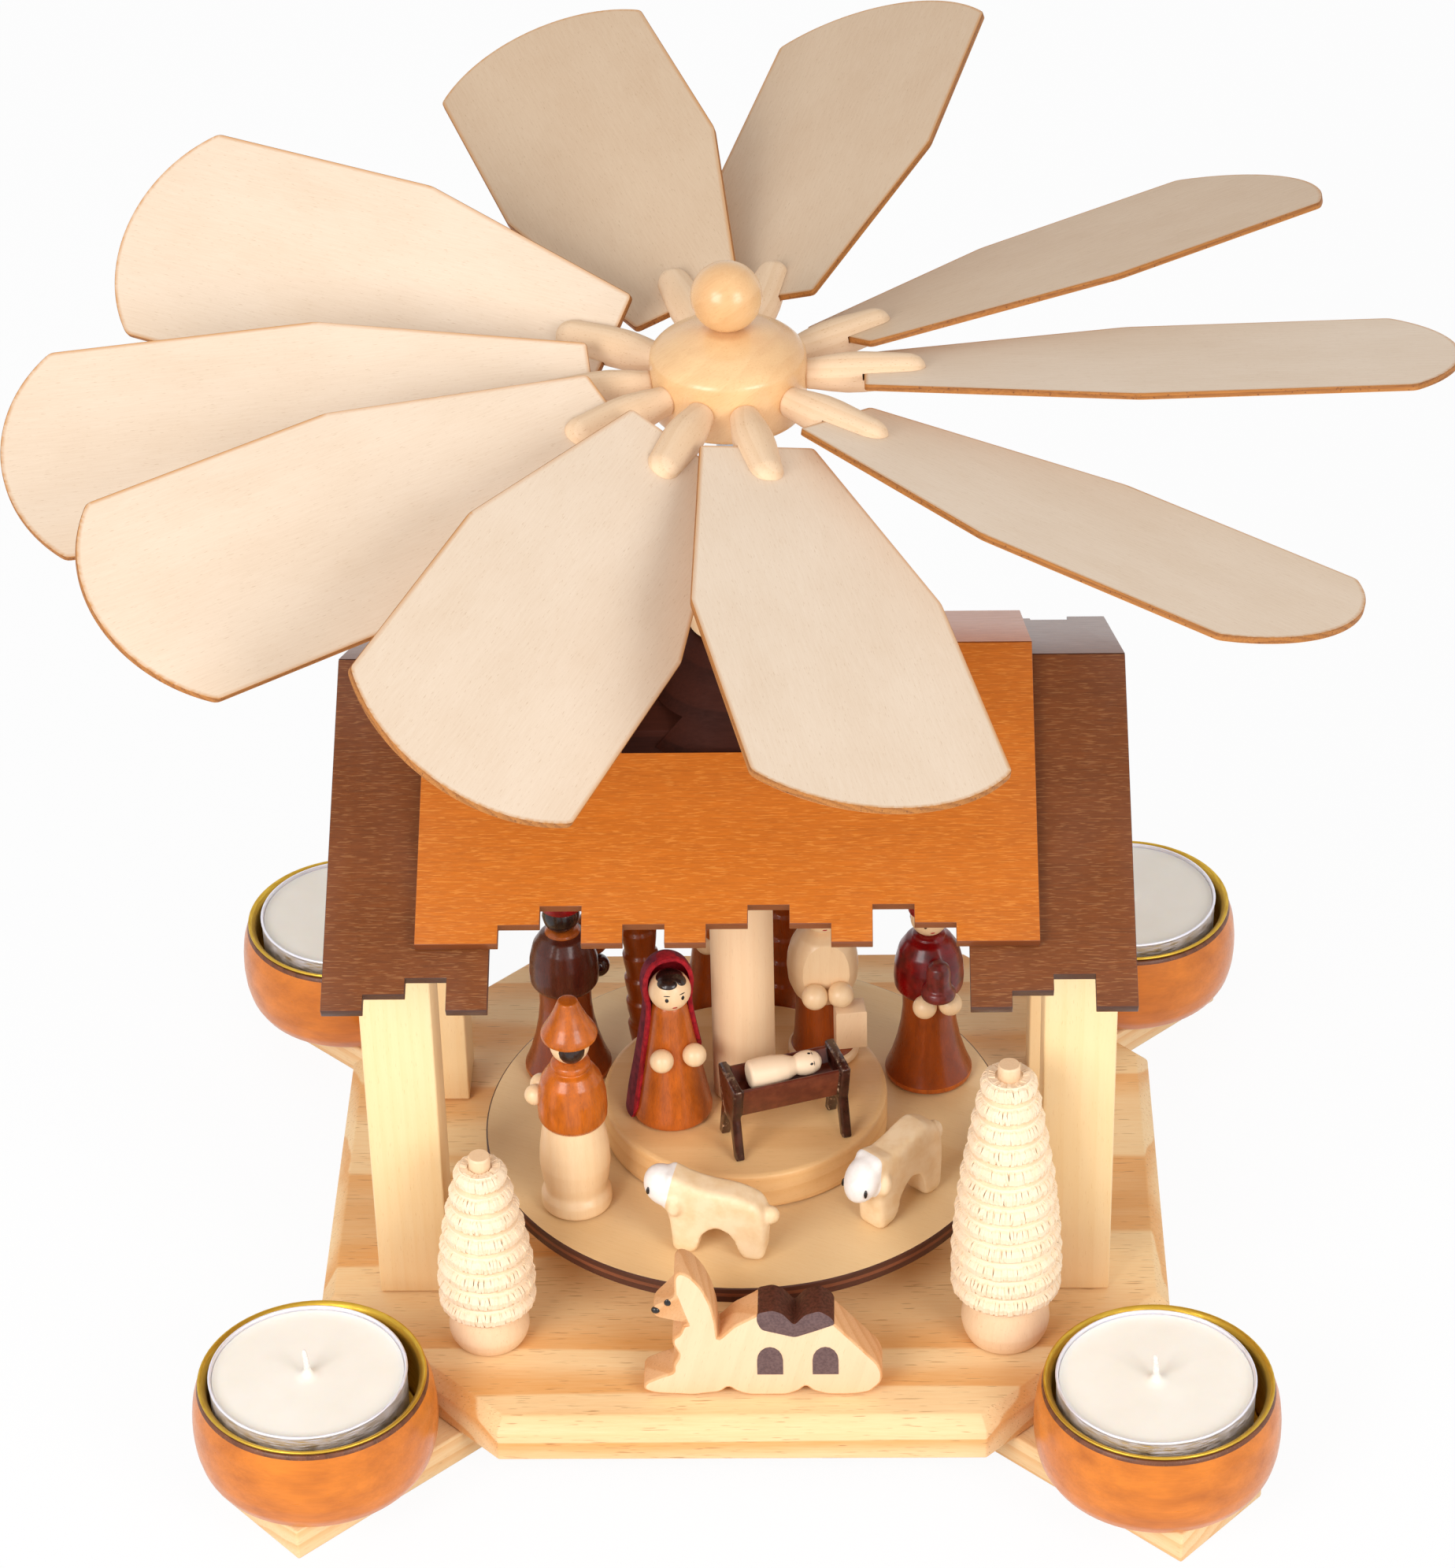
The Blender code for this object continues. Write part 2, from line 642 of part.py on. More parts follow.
def posts():
    for side, x in (("left", -POST_X), ("right", POST_X)):
        for end, y in (("front", -POST_Y), ("rear", POST_Y)):
            post = block(f"post_{end}_{side}", (POST_SIZE_X, POST_SIZE_Y, RIDGE_HEIGHT), PALE_WOOD)
            place(post, x, y, FLOOR)
            for vert in post.data.vertices:
                top = SIDE_UNDER_RIDGE - steep(y + vert.co.y) - GAP / math.cos(PITCH)
                vert.co.z = top - FLOOR if vert.co.z > 0 else 0.0


def eave_outline(start, unit, levels, step, slope_length, opening):
    """A panel seen square on: the ridge on Y = 0, and the eave in steps below it."""
    end = start + unit * len(levels)
    outline = [(end, 0.0)]
    if opening:
        depth = OPENING_HALF_Y / math.cos(PITCH)
        outline += [(OPENING_HALF_X, 0.0), (OPENING_HALF_X, -depth)]
        outline += [(-OPENING_HALF_X, -depth), (-OPENING_HALF_X, 0.0)]
    outline.append((start, 0.0))
    previous = None
    for i, level in enumerate(levels):
        low = -(slope_length - level * step)
        x = start + i * unit
        if previous != low:
            if previous is not None:
                outline.append((x, previous))
            outline.append((x, low))
        previous = low
    outline.append((end, previous))
    return outline


def roof_panel(name, outline, ridge_top, rear, material):
    if rear:
        outline = mirrored(outline)
    panel = sawn(name, outline, ROOF_THICKNESS, material)
    for vert in panel.data.vertices:
        if abs(vert.co.y) < WELD:
            vert.co.y = vert.co.z * math.tan(PITCH) - GAP / 2 / math.cos(PITCH)
    half_rise = ROOF_THICKNESS / 2 / math.cos(PITCH)
    place(panel, z=ridge_top - half_rise, turn=(PITCH, 0.0, math.pi if rear else 0.0))


def roof():
    starts = {"left": -ROOF_END - SIDE_LEFT_SHIFT, "right": SIDE_INNER_X}
    middle_start = MIDDLE_CENTRE_X - MIDDLE_UNIT * len(MIDDLE_STEPS) / 2
    for end, rear in (("front", False), ("rear", True)):
        for side, start in starts.items():
            outline = eave_outline(start, SIDE_UNIT, SIDE_STEPS, SIDE_STEP, SIDE_SLOPE_LENGTH, False)
            roof_panel(f"roof_{side}_{end}", outline, RIDGE_TOP, rear, BROWN_STAIN)
        outline = eave_outline(
            middle_start, MIDDLE_UNIT, MIDDLE_STEPS, MIDDLE_STEP, MIDDLE_SLOPE_LENGTH, True
        )
        roof_panel(f"roof_middle_{end}", outline, RIDGE_TOP + LAP_RISE, rear, ORANGE_STAIN)


def spindle_hole(name, bottom, top):
    return place(rod(name, BORE, top - bottom + OVERRUN * 2, BORE_SIDES), z=bottom - OVERRUN)


def bearings():
    shoulder = BRIDGE_HALF_WIDTH - BRIDGE_HALF_FLAT
    drop = math.tan(PITCH) * shoulder
    outline = [
        (-BRIDGE_HALF_WIDTH, -BRIDGE_HEIGHT),
        (BRIDGE_HALF_WIDTH, -BRIDGE_HEIGHT),
        (BRIDGE_HALF_WIDTH, -drop),
        (BRIDGE_HALF_FLAT, 0.0),
        (-BRIDGE_HALF_FLAT, 0.0),
        (-BRIDGE_HALF_WIDTH, -drop),
    ]
    bridge = sawn("bearing_bridge", outline, (ROOF_END - BRIDGE_END_INSET) * 2, DARK_STAIN)
    place(bridge, z=BRIDGE_TOP, turn=(math.pi / 2, 0.0, math.pi / 2))
    cut(bridge, spindle_hole("bridge_bore", BRIDGE_BOTTOM, BRIDGE_TOP))

    dome_base_radius = min(OPENING_HALF_X, OPENING_HALF_Y) - DOME_CLEARANCE
    dome_height = DOME_RISE + DOME_DROP
    profile = [(BORE, DOME_RISE)]
    for out_share, up_share in DOME_SHARES:
        radius = DOME_TOP_RADIUS + (dome_base_radius - DOME_TOP_RADIUS) * out_share
        profile.append((radius, up_share * dome_height - DOME_DROP))
    profile.append((BORE, -DOME_DROP))
    dome = turned("bearing_dome", profile, DOME_SIDES, DARK_STAIN, ring=True)
    place(dome, z=BRIDGE_TOP)
    saddle_height = DOME_DROP + GAP + OVERRUN
    saddle = block(
        "dome_saddle",
        (dome_base_radius * 2 + OVERRUN * 2, BRIDGE_HALF_WIDTH * 2 + GAP * 2, saddle_height),
        None,
    )
    place(saddle, z=BRIDGE_TOP + GAP - saddle_height / 2)
    cut(dome, saddle)

    bush_bottom = DOME_RISE + GAP
    bush_top = bush_bottom + BUSH_HEIGHT
    bush = turned(
        "bearing_bush",
        [(BORE, bush_top), (BUSH_RADIUS, bush_top), (BUSH_RADIUS, bush_bottom), (BORE, bush_bottom)],
        BUSH_SIDES,
        PALE_WOOD,
        ring=True,
    )
    place(bush, z=BRIDGE_TOP)

    cup = turned(
        "lower_bearing",
        [
            (0.0, LOWER_BEARING_FLOOR),
            (BORE, LOWER_BEARING_FLOOR + SPINDLE_POINT_LENGTH),
            (BORE, LOWER_BEARING_HEIGHT),
            (LOWER_BEARING_RADIUS, LOWER_BEARING_HEIGHT),
            (LOWER_BEARING_RADIUS, 0.0),
            (0.0, 0.0),
        ],
        BORE_SIDES,
        BRASS,
    )
    place(cup, z=FLOOR)


def candle_cups():
    bowl_inner = TEALIGHT_RADIUS + GAP + LINER_WALL + GAP
    tin_top = BOWL_HEIGHT + TEALIGHT_STAND_OUT + GAP
    tin_bottom = tin_top - TEALIGHT_HEIGHT
    liner_floor = tin_bottom - GAP - LINER_WALL
    bowl_floor = liner_floor - GAP
    liner_inner = TEALIGHT_RADIUS + GAP
    lip_bottom = BOWL_HEIGHT + GAP
    lip_top = lip_bottom + LINER_LIP
    rim_radius = BOWL_RADIUS * BOWL_SHARES[0][0]
    lip_radius = rim_radius - BOWL_WALL / 2 + GAP
    for place_name, angle in CUP_ANGLES.items():
        x = math.cos(math.radians(angle)) * cup_reach(place_name)
        y = math.sin(math.radians(angle)) * cup_reach(place_name)
        profile = [(0.0, bowl_floor), (bowl_inner, bowl_floor), (bowl_inner, BOWL_HEIGHT)]
        profile += [(r * BOWL_RADIUS, z * BOWL_HEIGHT) for r, z in BOWL_SHARES]
        profile.append((0.0, 0.0))
        place(turned(f"candle_bowl_{place_name}", profile, CUP_SIDES, BOWL_STAIN), x, y, CUP_FLOOR)
        profile = [
            (0.0, tin_bottom - GAP),
            (liner_inner, tin_bottom - GAP),
            (liner_inner, lip_top),
            (lip_radius, lip_top),
            (lip_radius, lip_bottom),
            (liner_inner + LINER_WALL, lip_bottom),
            (liner_inner + LINER_WALL, liner_floor),
            (0.0, liner_floor),
        ]
        place(turned(f"brass_liner_{place_name}", profile, CUP_SIDES, BRASS), x, y, CUP_FLOOR)
        inside = TEALIGHT_RADIUS - TIN_WALL
        wax_top = tin_top - WAX_DEPTH
        profile = [
            (0.0, wax_top + WICK_HEIGHT),
            (WICK_RADIUS, wax_top + WICK_HEIGHT),
            (WICK_RADIUS, wax_top),
            (inside, wax_top),
            (inside, tin_top),
            (TEALIGHT_RADIUS, tin_top),
            (TEALIGHT_RADIUS, tin_bottom),
            (0.0, tin_bottom),
        ]
        place(turned(f"tealight_{place_name}", profile, CUP_SIDES, WAX), x, y, CUP_FLOOR)


def tree(name, x_share, y_share, radius, height, tiers, foot):
    top = height - TREE_STUB_HEIGHT
    profile = [(0.0, height), (TREE_STUB_RADIUS, height), (TREE_STUB_RADIUS, top)]
    for i in range(tiers):
        share = (i + 1) / tiers
        spread = TREE_CROWN_SHARE + (1 - TREE_CROWN_SHARE) * math.sin(share * math.pi / 2)
        low = top - (top - foot) * share
        profile.append((radius * spread, low + (top - foot) / tiers * TREE_TIER_RISE_SHARE))
        profile.append((radius * spread * TREE_NOTCH_SHARE, low))
    profile += [(TREE_FOOT_RADIUS * TREE_NOTCH_SHARE, foot * TREE_NOTCH_SHARE)]
    profile += [(TREE_FOOT_RADIUS, foot / 2), (TREE_FOOT_RADIUS, 0.0), (0.0, 0.0)]
    place(turned(name, profile, TREE_SIDES, SHAVINGS), x_share * BASE_HALF_X, y_share * BASE_HALF_Y, FLOOR)


def camel():
    outline = [(x * CAMEL_LENGTH - CAMEL_LENGTH / 2, z * CAMEL_HEIGHT) for x, z in CAMEL_SHARES]
    board = sawn("camel", outline, CAMEL_THICKNESS, PALE_WOOD)
    y = -(DISC_RADIUS + CAMEL_SPACING + CAMEL_THICKNESS / 2)
    place(board, CAMEL_X, y, FLOOR, (math.pi / 2, 0.0, 0.0))


def rotor_pieces(axis):
    point_bottom = FLOOR + LOWER_BEARING_FLOOR + GAP
    spindle = turned(
        "spindle",
        [
            (0.0, PEG_AXIS + HUB_BORE_RISE - GAP),
            (SPINDLE_RADIUS, PEG_AXIS + HUB_BORE_RISE - GAP),
            (SPINDLE_RADIUS, point_bottom + SPINDLE_POINT_LENGTH),
            (SPINDLE_TIP_RADIUS, point_bottom + SPINDLE_TIP_RADIUS),
            (0.0, point_bottom + SPINDLE_TIP_RADIUS),
        ],
        SPINDLE_SIDES,
        STEEL,
    )
    place(spindle, parent=axis)
    for name, radius, bottom, top, sides, material in (
        ("turntable_disc", DISC_RADIUS, DISC_BOTTOM, DISC_TOP, DISC_SIDES, MAPLE),
        ("inner_platform", PLATFORM_RADIUS, DISC_TOP + GAP, PLATFORM_TOP, PLATFORM_SIDES, MAPLE),
        ("column", COLUMN_RADIUS, PLATFORM_TOP + GAP, COLUMN_TOP, COLUMN_SIDES, PALE_WOOD),
    ):
        profile = [(BORE, top), (radius, top), (radius, bottom), (BORE, bottom)]
        place(turned(name, profile, sides, material, ring=True), parent=axis)


def stand(name, obj, axis):
    """Stands a figure on the disc or the platform, facing its own way."""
    if name in DISC_PLACE_SHARES:
        shares, radius, height = DISC_PLACE_SHARES[name], DISC_RADIUS, DISC_TOP + GAP
    else:
        shares, radius, height = PLATFORM_PLACE_SHARES[name], PLATFORM_RADIUS, PLATFORM_TOP + GAP
    facing = (0.0, 0.0, math.radians(FACING_ANGLES.get(name, 0.0)))
    return place(obj, shares[0] * radius, shares[1] * radius, height, facing, axis)


def figure_body(name, shares, radius, height, axis, material):
    body = turned_shares(name, shares, radius, height, FIGURE_SIDES, material)
    return stand(name, body, axis)


def hands(figure, spread, forward, height):
    for side in (-1, 1):
        hand = ball(f"{figure.name}_hand_{side}", HAND_RADIUS, HAND_SIDES, HAND_RINGS, None)
        fuse(figure, place(hand, side * spread, -forward, height, parent=figure))


def hooded_figure(axis):
    figure = figure_body("hooded_figure", HOODED_SHARES, HOODED_RADIUS, HOODED_HEIGHT, axis, ORANGE_STAIN)
    cape = turned_shares("hooded_cape", CAPE_SHARES, CAPE_RADIUS, CAPE_HEIGHT, FIGURE_SIDES, None)
    fuse(figure, place(cape, 0.0, CAPE_BACK, parent=figure))
    hood = ball("hooded_hood", HOOD_RADIUS, HOOD_SIDES, HEAD_RINGS, None)
    fuse(figure, place(hood, 0.0, HOOD_BACK, HOODED_HEIGHT + HOOD_RISE, parent=figure))
    head = ball("hooded_head", HOODED_HEAD_RADIUS, HEAD_SIDES, HEAD_RINGS, None)
    fuse(figure, place(head, 0.0, -HOODED_HEAD_FORWARD, HOODED_HEIGHT + HOODED_HEAD_RISE, parent=figure))
    hands(figure, HOODED_HAND_SPREAD, HOODED_HAND_FORWARD, HOODED_HAND_HEIGHT)


def lantern_figure(axis):
    figure = figure_body(
        "lantern_figure", LANTERN_FIGURE_SHARES, LANTERN_FIGURE_RADIUS, LANTERN_FIGURE_HEIGHT, axis, PALE_WOOD
    )
    face = ball("lantern_face", LANTERN_FACE_RADIUS, SMALL_HEAD_SIDES, HEAD_RINGS, None)
    fuse(figure, place(face, 0.0, -LANTERN_FACE_FORWARD, LANTERN_FACE_HEIGHT, parent=figure))
    hands(figure, LANTERN_HAND_SPREAD, LANTERN_HAND_FORWARD, LANTERN_HAND_HEIGHT)
    lantern = block("lantern_block", (LANTERN_WIDTH, LANTERN_DEPTH, LANTERN_HEIGHT), None)
    middle = LANTERN_BASE + LANTERN_HEIGHT / 2
    fuse(figure, place(lantern, LANTERN_SIDE, -LANTERN_FORWARD, middle, parent=figure))


def shepherd(axis):
    figure = figure_body("shepherd", SHEPHERD_SHARES, SHEPHERD_RADIUS, SHEPHERD_HEIGHT, axis, BROWN_STAIN)
    hands(figure, SHEPHERD_HAND_SPREAD, SHEPHERD_HAND_FORWARD, SHEPHERD_HAND_HEIGHT)


def king(name, axis, material):
    figure = figure_body(name, KING_SHARES, KING_RADIUS, KING_HEIGHT, axis, material)
    hands(figure, KING_HAND_SPREAD, KING_HAND_FORWARD, KING_HAND_HEIGHT)
    gift = turned_shares(name + "_gift", GIFT_SHARES, GIFT_RADIUS, GIFT_HEIGHT, GIFT_SIDES, None)
    fuse(figure, place(gift, 0.0, -GIFT_FORWARD, GIFT_BASE, parent=figure))


def crib_and_infant(axis):
    trough = sawn(
        "crib",
        [(y * CRIB_HALF_WIDTH, z * CRIB_HEIGHT) for y, z in TROUGH_SHARES],
        CRIB_HALF_LENGTH * 2,
        DARK_STAIN,
    )
    for vert in trough.data.vertices:
        vert.co = (vert.co.z, vert.co.x, vert.co.y)
    stand("crib", trough, axis)
    upright = (math.pi / 2, 0.0, math.pi / 2)
    for end in (-1, 1):
        outline = [(y * CRIB_HALF_WIDTH, z * CRIB_HEIGHT) for y, z in CRIB_END_SHARES]
        board = sawn(f"crib_end_{end}", outline, CRIB_BOARD, None)
        fuse(trough, place(board, end * CRIB_HALF_LENGTH, turn=upright, parent=trough))
    floor_share = TROUGH_SHARES[2][1]
    infant = turned_shares("infant", INFANT_SHARES, INFANT_RADIUS, INFANT_LENGTH, INFANT_SIDES, PALE_WOOD)
    lying_height = floor_share * CRIB_HEIGHT + GAP + INFANT_RADIUS
    place(infant, -INFANT_LENGTH / 2, 0.0, lying_height, (0.0, math.pi / 2, 0.0), trough)


def sheep(name, axis):
    outline = [(x * SHEEP_LENGTH, z * SHEEP_HEIGHT) for x, z in SHEEP_SHARES]
    body = sawn(name, outline, SHEEP_THICKNESS, PALE_WOOD)
    for vert in body.data.vertices:
        vert.co = (vert.co.z, -vert.co.x, vert.co.y)
    stand(name, body, axis)
    head = ball(name + "_head", SHEEP_HEAD_RADIUS, SMALL_HEAD_SIDES, HEAD_RINGS, None)
    place(
        head,
        0.0,
        -SHEEP_HEAD_FORWARD_SHARE * SHEEP_LENGTH,
        SHEEP_HEAD_HEIGHT_SHARE * SHEEP_HEIGHT,
        parent=body,
    )
    fuse(body, head)


def palm(name, side, axis):
    segment = PALM_HEIGHT / PALM_SEGMENTS
    profile = [(0.0, PALM_HEIGHT)]
    for i in range(PALM_SEGMENTS):
        top = PALM_HEIGHT - i * segment
        profile.append((PALM_RADIUS, top))
        profile.append((PALM_RADIUS * PALM_WAIST_SHARE, top - segment + PALM_LIP))
    profile[-1] = (PALM_RADIUS, 0.0)
    profile.append((0.0, 0.0))
    trunk = turned(name, profile, PALM_SIDES, BROWN_STAIN)
    stand(name, trunk, axis)
    star = []
    for i in range(PALM_LEAVES * 2):
        reach = PALM_LEAF_REACH if i % 2 == 0 else PALM_LEAF_VALLEY
        angle = math.pi * i / PALM_LEAVES
        star.append((math.cos(angle) * reach, math.sin(angle) * reach))
    crown = sawn(name + "_crown", star, PALM_LEAF_THICKNESS, None)
    for vert in crown.data.vertices:
        vert.co.z -= PALM_LEAF_DROOP_SHARE * (math.hypot(vert.co.x, vert.co.y) - PALM_LEAF_VALLEY)
    place(crown, z=PALM_HEIGHT, parent=trunk)
    fuse(trunk, crown)
    trunk.rotation_euler.y = side * math.radians(PALM_LEAN_ANGLE)


def blade_outline():
    """The blade along its peg (X): narrow root, shoulders, and a tip that is an arc through its corners."""
    rise = BLADE_REACH - BLADE_TIP_CORNER
    arc_radius = (BLADE_HALF**2 + rise**2) / (2 * rise)
    spread = math.asin(BLADE_HALF / arc_radius)
    outline = [(BLADE_ROOT, -BLADE_ROOT_HALF), (BLADE_SHOULDER, -BLADE_HALF)]
    for i in range(BLADE_ARC_POINTS):
        angle = spread * (2 * i / (BLADE_ARC_POINTS - 1) - 1)
        outline.append((BLADE_REACH - arc_radius * (1 - math.cos(angle)), arc_radius * math.sin(angle)))
    outline += [(BLADE_SHOULDER, BLADE_HALF), (BLADE_ROOT, BLADE_ROOT_HALF)]
    return outline


def wheel_pieces(axis):
    cone_top = HUB_ABOVE + HUB_CONE_RISE
    socket_bottom = cone_top - BALL_TENON_LENGTH - GAP
    hub = turned(
        "hub",
        [
            (0.0, socket_bottom),
            (BALL_TENON_RADIUS + GAP, socket_bottom),
            (BALL_TENON_RADIUS + GAP, cone_top),
            (HUB_TOP_RADIUS, cone_top),
            (HUB_RADIUS, HUB_ABOVE),
            (HUB_RADIUS, -HUB_BELOW),
            (BORE, -HUB_BELOW),
            (BORE, HUB_BORE_RISE),
            (0.0, HUB_BORE_RISE),
        ],
        HUB_SIDES,
        MAPLE,
    )
    place(hub, parent=axis)
    shoulder = HUB_RADIUS + PEG_SHOULDER_CLEARANCE
    outline = blade_outline()
    peg_profile = [
        (0.0, PEG_REACH),
        (PEG_RADIUS - PEG_NOSE, PEG_REACH),
        (PEG_RADIUS, PEG_REACH - PEG_NOSE),
        (PEG_BELLY_RADIUS, PEG_BELLY),
        (PEG_NECK_RADIUS, shoulder),
        (TENON_RADIUS, shoulder),
        (TENON_RADIUS, TENON_START),
        (0.0, TENON_START),
    ]
    hole_length = HUB_RADIUS - TENON_START + GAP + OVERRUN
    for number, (azimuth, pitch, rise) in enumerate(PADDLE_ANGLES, 1):
        swing = (0.0, -math.radians(rise), math.radians(azimuth))
        hole = rod(f"peg_hole_{number}", TENON_RADIUS + GAP, hole_length, PEG_SIDES)
        hole.data.transform(Matrix.Translation((0.0, 0.0, TENON_START - GAP)))
        hole.data.transform(Matrix.Rotation(math.pi / 2, 4, "Y"))
        cut(hub, place(hole, turn=swing, parent=axis))
        blade = sawn(f"paddle_{number}", outline, BLADE_THICKNESS, PLYWOOD)
        place(blade, turn=(math.radians(pitch), swing[1], swing[2]), parent=axis)
        peg = turned(f"peg_{number}", peg_profile, PEG_SIDES, None)
        fuse(blade, place(peg, turn=(0.0, math.pi / 2, 0.0), parent=blade))

    ball_centre = cone_top + GAP + math.sqrt(BALL_RADIUS**2 - BALL_TENON_RADIUS**2)
    finial = [(0.0, ball_centre + BALL_RADIUS)]
    end_angle = math.pi - math.asin(BALL_TENON_RADIUS / BALL_RADIUS)
    for i in range(1, BALL_RINGS + 1):
        angle = end_angle * i / BALL_RINGS
        finial.append((BALL_RADIUS * math.sin(angle), ball_centre + BALL_RADIUS * math.cos(angle)))
    finial += [(BALL_TENON_RADIUS, cone_top - BALL_TENON_LENGTH), (0.0, cone_top - BALL_TENON_LENGTH)]
    place(turned("finial_ball", finial, BALL_SIDES, MAPLE), parent=axis)


def build():
    cross_bars()
    base_plate()
    posts()
    roof()
    bearings()
    candle_cups()
    tree(
        "tree_left",
        TREE_LEFT_X_SHARE,
        TREE_LEFT_Y_SHARE,
        TREE_LEFT_RADIUS,
        TREE_LEFT_HEIGHT,
        TREE_LEFT_TIERS,
        TREE_LEFT_FOOT,
    )
    tree(
        "tree_right",
        TREE_RIGHT_X_SHARE,
        TREE_RIGHT_Y_SHARE,
        TREE_RIGHT_RADIUS,
        TREE_RIGHT_HEIGHT,
        TREE_RIGHT_TIERS,
        TREE_RIGHT_FOOT,
    )
    camel()
    rotor_axis = add_axis("rotor_axis")
    rotor_pieces(rotor_axis)
    hooded_figure(rotor_axis)
    lantern_figure(rotor_axis)
    shepherd(rotor_axis)
    king("king_left", rotor_axis, BROWN_STAIN)
    king("king_right", rotor_axis, RED_STAIN)
    king("king_rear", rotor_axis, RED_STAIN)
    crib_and_infant(rotor_axis)
    sheep("sheep_left", rotor_axis)
    sheep("sheep_right", rotor_axis)
    palm("palm_left", -1, rotor_axis)
    palm("palm_right", 1, rotor_axis)
    wheel_pieces(add_axis("wheel_axis", PEG_AXIS, rotor_axis))


build()
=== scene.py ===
# Candle carousel, dressed for its photograph. Lengths in the tables are millimetres, angles are degrees.
import json
import math
import random
from functools import partial

import bmesh
import bpy
from mathutils import Euler, Matrix, Vector

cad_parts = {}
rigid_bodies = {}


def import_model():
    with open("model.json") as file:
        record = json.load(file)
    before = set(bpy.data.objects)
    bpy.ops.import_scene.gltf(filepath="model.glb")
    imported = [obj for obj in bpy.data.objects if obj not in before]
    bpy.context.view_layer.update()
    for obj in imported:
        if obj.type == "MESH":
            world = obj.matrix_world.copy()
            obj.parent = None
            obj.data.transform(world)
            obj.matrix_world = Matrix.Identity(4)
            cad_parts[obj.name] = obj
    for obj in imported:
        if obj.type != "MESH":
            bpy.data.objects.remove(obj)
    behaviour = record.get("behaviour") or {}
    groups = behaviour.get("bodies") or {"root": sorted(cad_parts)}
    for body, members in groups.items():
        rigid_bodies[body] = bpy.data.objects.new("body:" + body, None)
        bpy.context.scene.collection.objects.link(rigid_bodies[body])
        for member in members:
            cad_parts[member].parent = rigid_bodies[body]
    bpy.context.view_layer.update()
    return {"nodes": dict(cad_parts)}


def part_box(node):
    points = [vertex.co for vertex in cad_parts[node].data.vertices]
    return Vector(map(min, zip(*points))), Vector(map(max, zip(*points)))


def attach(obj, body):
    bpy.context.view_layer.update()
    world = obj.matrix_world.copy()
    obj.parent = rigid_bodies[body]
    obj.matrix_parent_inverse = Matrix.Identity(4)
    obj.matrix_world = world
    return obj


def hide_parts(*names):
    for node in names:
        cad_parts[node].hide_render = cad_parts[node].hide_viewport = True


for startup in list(bpy.data.objects):
    bpy.data.objects.remove(startup, do_unlink=True)
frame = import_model()
print("packed model loaded")

mm = 0.001
luck = random.Random(11)
corners = ("front_left", "front_right", "rear_left", "rear_right")
baseTop, discTop, platformTop = 16.7, 29.8, 38.1

# The camera's own axes and place, as solved from the photograph
shot = {
    "place": (21.869, -754.546, 627.934),
    "right": (0.99963386, 0.01747938, -0.02065459),
    "up": (0.00717677, 0.56472424, 0.82524846),
    "ahead": (-0.02608898, 0.82509454, -0.56439203),
    "lens": 117.55,
    "sensor": 36.0,
}
lights = {
    "windowLeft": {"place": (-440, -660, 500), "size": (420, 420), "watts": 4.5},
    "windowRight": {"place": (500, -640, 470), "size": (360, 400), "watts": 3.2},
    "aim": (0, 0, 100),
    "skyLevel": 0.62,
    "floorGlow": 0.93,
    "paper": "F4F4F6",
}


def addLinked(name, data):
    obj = bpy.data.objects.new(name, data)
    bpy.context.scene.collection.objects.link(obj)
    return obj


def setCamera():
    data = bpy.data.cameras.new("camera")
    data.sensor_fit = "HORIZONTAL"
    data.sensor_width = shot["sensor"]
    data.lens = shot["lens"]
    data.clip_start = 0.01
    camera = addLinked("camera", data)
    turn = Matrix((shot["right"], shot["up"], [-part for part in shot["ahead"]])).transposed()
    camera.matrix_world = Matrix.Translation(Vector(shot["place"]) * mm) @ turn.to_4x4()
    bpy.context.scene.camera = camera


def setLamp(name):
    data = bpy.data.lights.new(name, "AREA")
    data.shape = "RECTANGLE"
    data.size, data.size_y = [side * mm for side in lights[name]["size"]]
    data.energy = lights[name]["watts"]
    lamp = addLinked(name, data)
    lamp.location = Vector(lights[name]["place"]) * mm
    lamp.rotation_euler = (Vector(lights["aim"]) * mm - lamp.location).to_track_quat("-Z", "Y").to_euler()


setCamera()
setLamp("windowLeft")
setLamp("windowRight")
print("camera and lamps set")


def linear(hexText):   # an sRGB hex value as the linear colour that Blender works in
    parts = [int(hexText[i:i + 2], 16) / 255 for i in (0, 2, 4)]
    return [part / 12.92 if part <= 0.04045 else ((part + 0.055) / 1.055) ** 2.4 for part in parts] + [1.0]


def plug(made, links):   # a link or a plain value for each of a node's sockets
    for socket, value in links.items():
        if isinstance(value, bpy.types.NodeSocket):
            made.id_data.links.new(value, made.inputs[socket])
        else:
            made.inputs[socket].default_value = value


def addNode(tree, kind, links=None, **settings):   # a new node's outputs
    made = tree.nodes.new("ShaderNode" + kind)
    for name, value in settings.items():
        setattr(made, name, value)
    plug(made, links or {})
    return made.outputs


def seenDirectly(add):   # 1 for rays that should meet plain white: from the eye, and off metal and wax
    path = add("LightPath")
    glossy = add("Math", {0: path["Is Camera Ray"], 1: path["Is Glossy Ray"]}, operation="MAXIMUM")[0]
    return add("Math", {0: glossy, 1: path["Is Transmission Ray"]}, operation="MAXIMUM")[0]


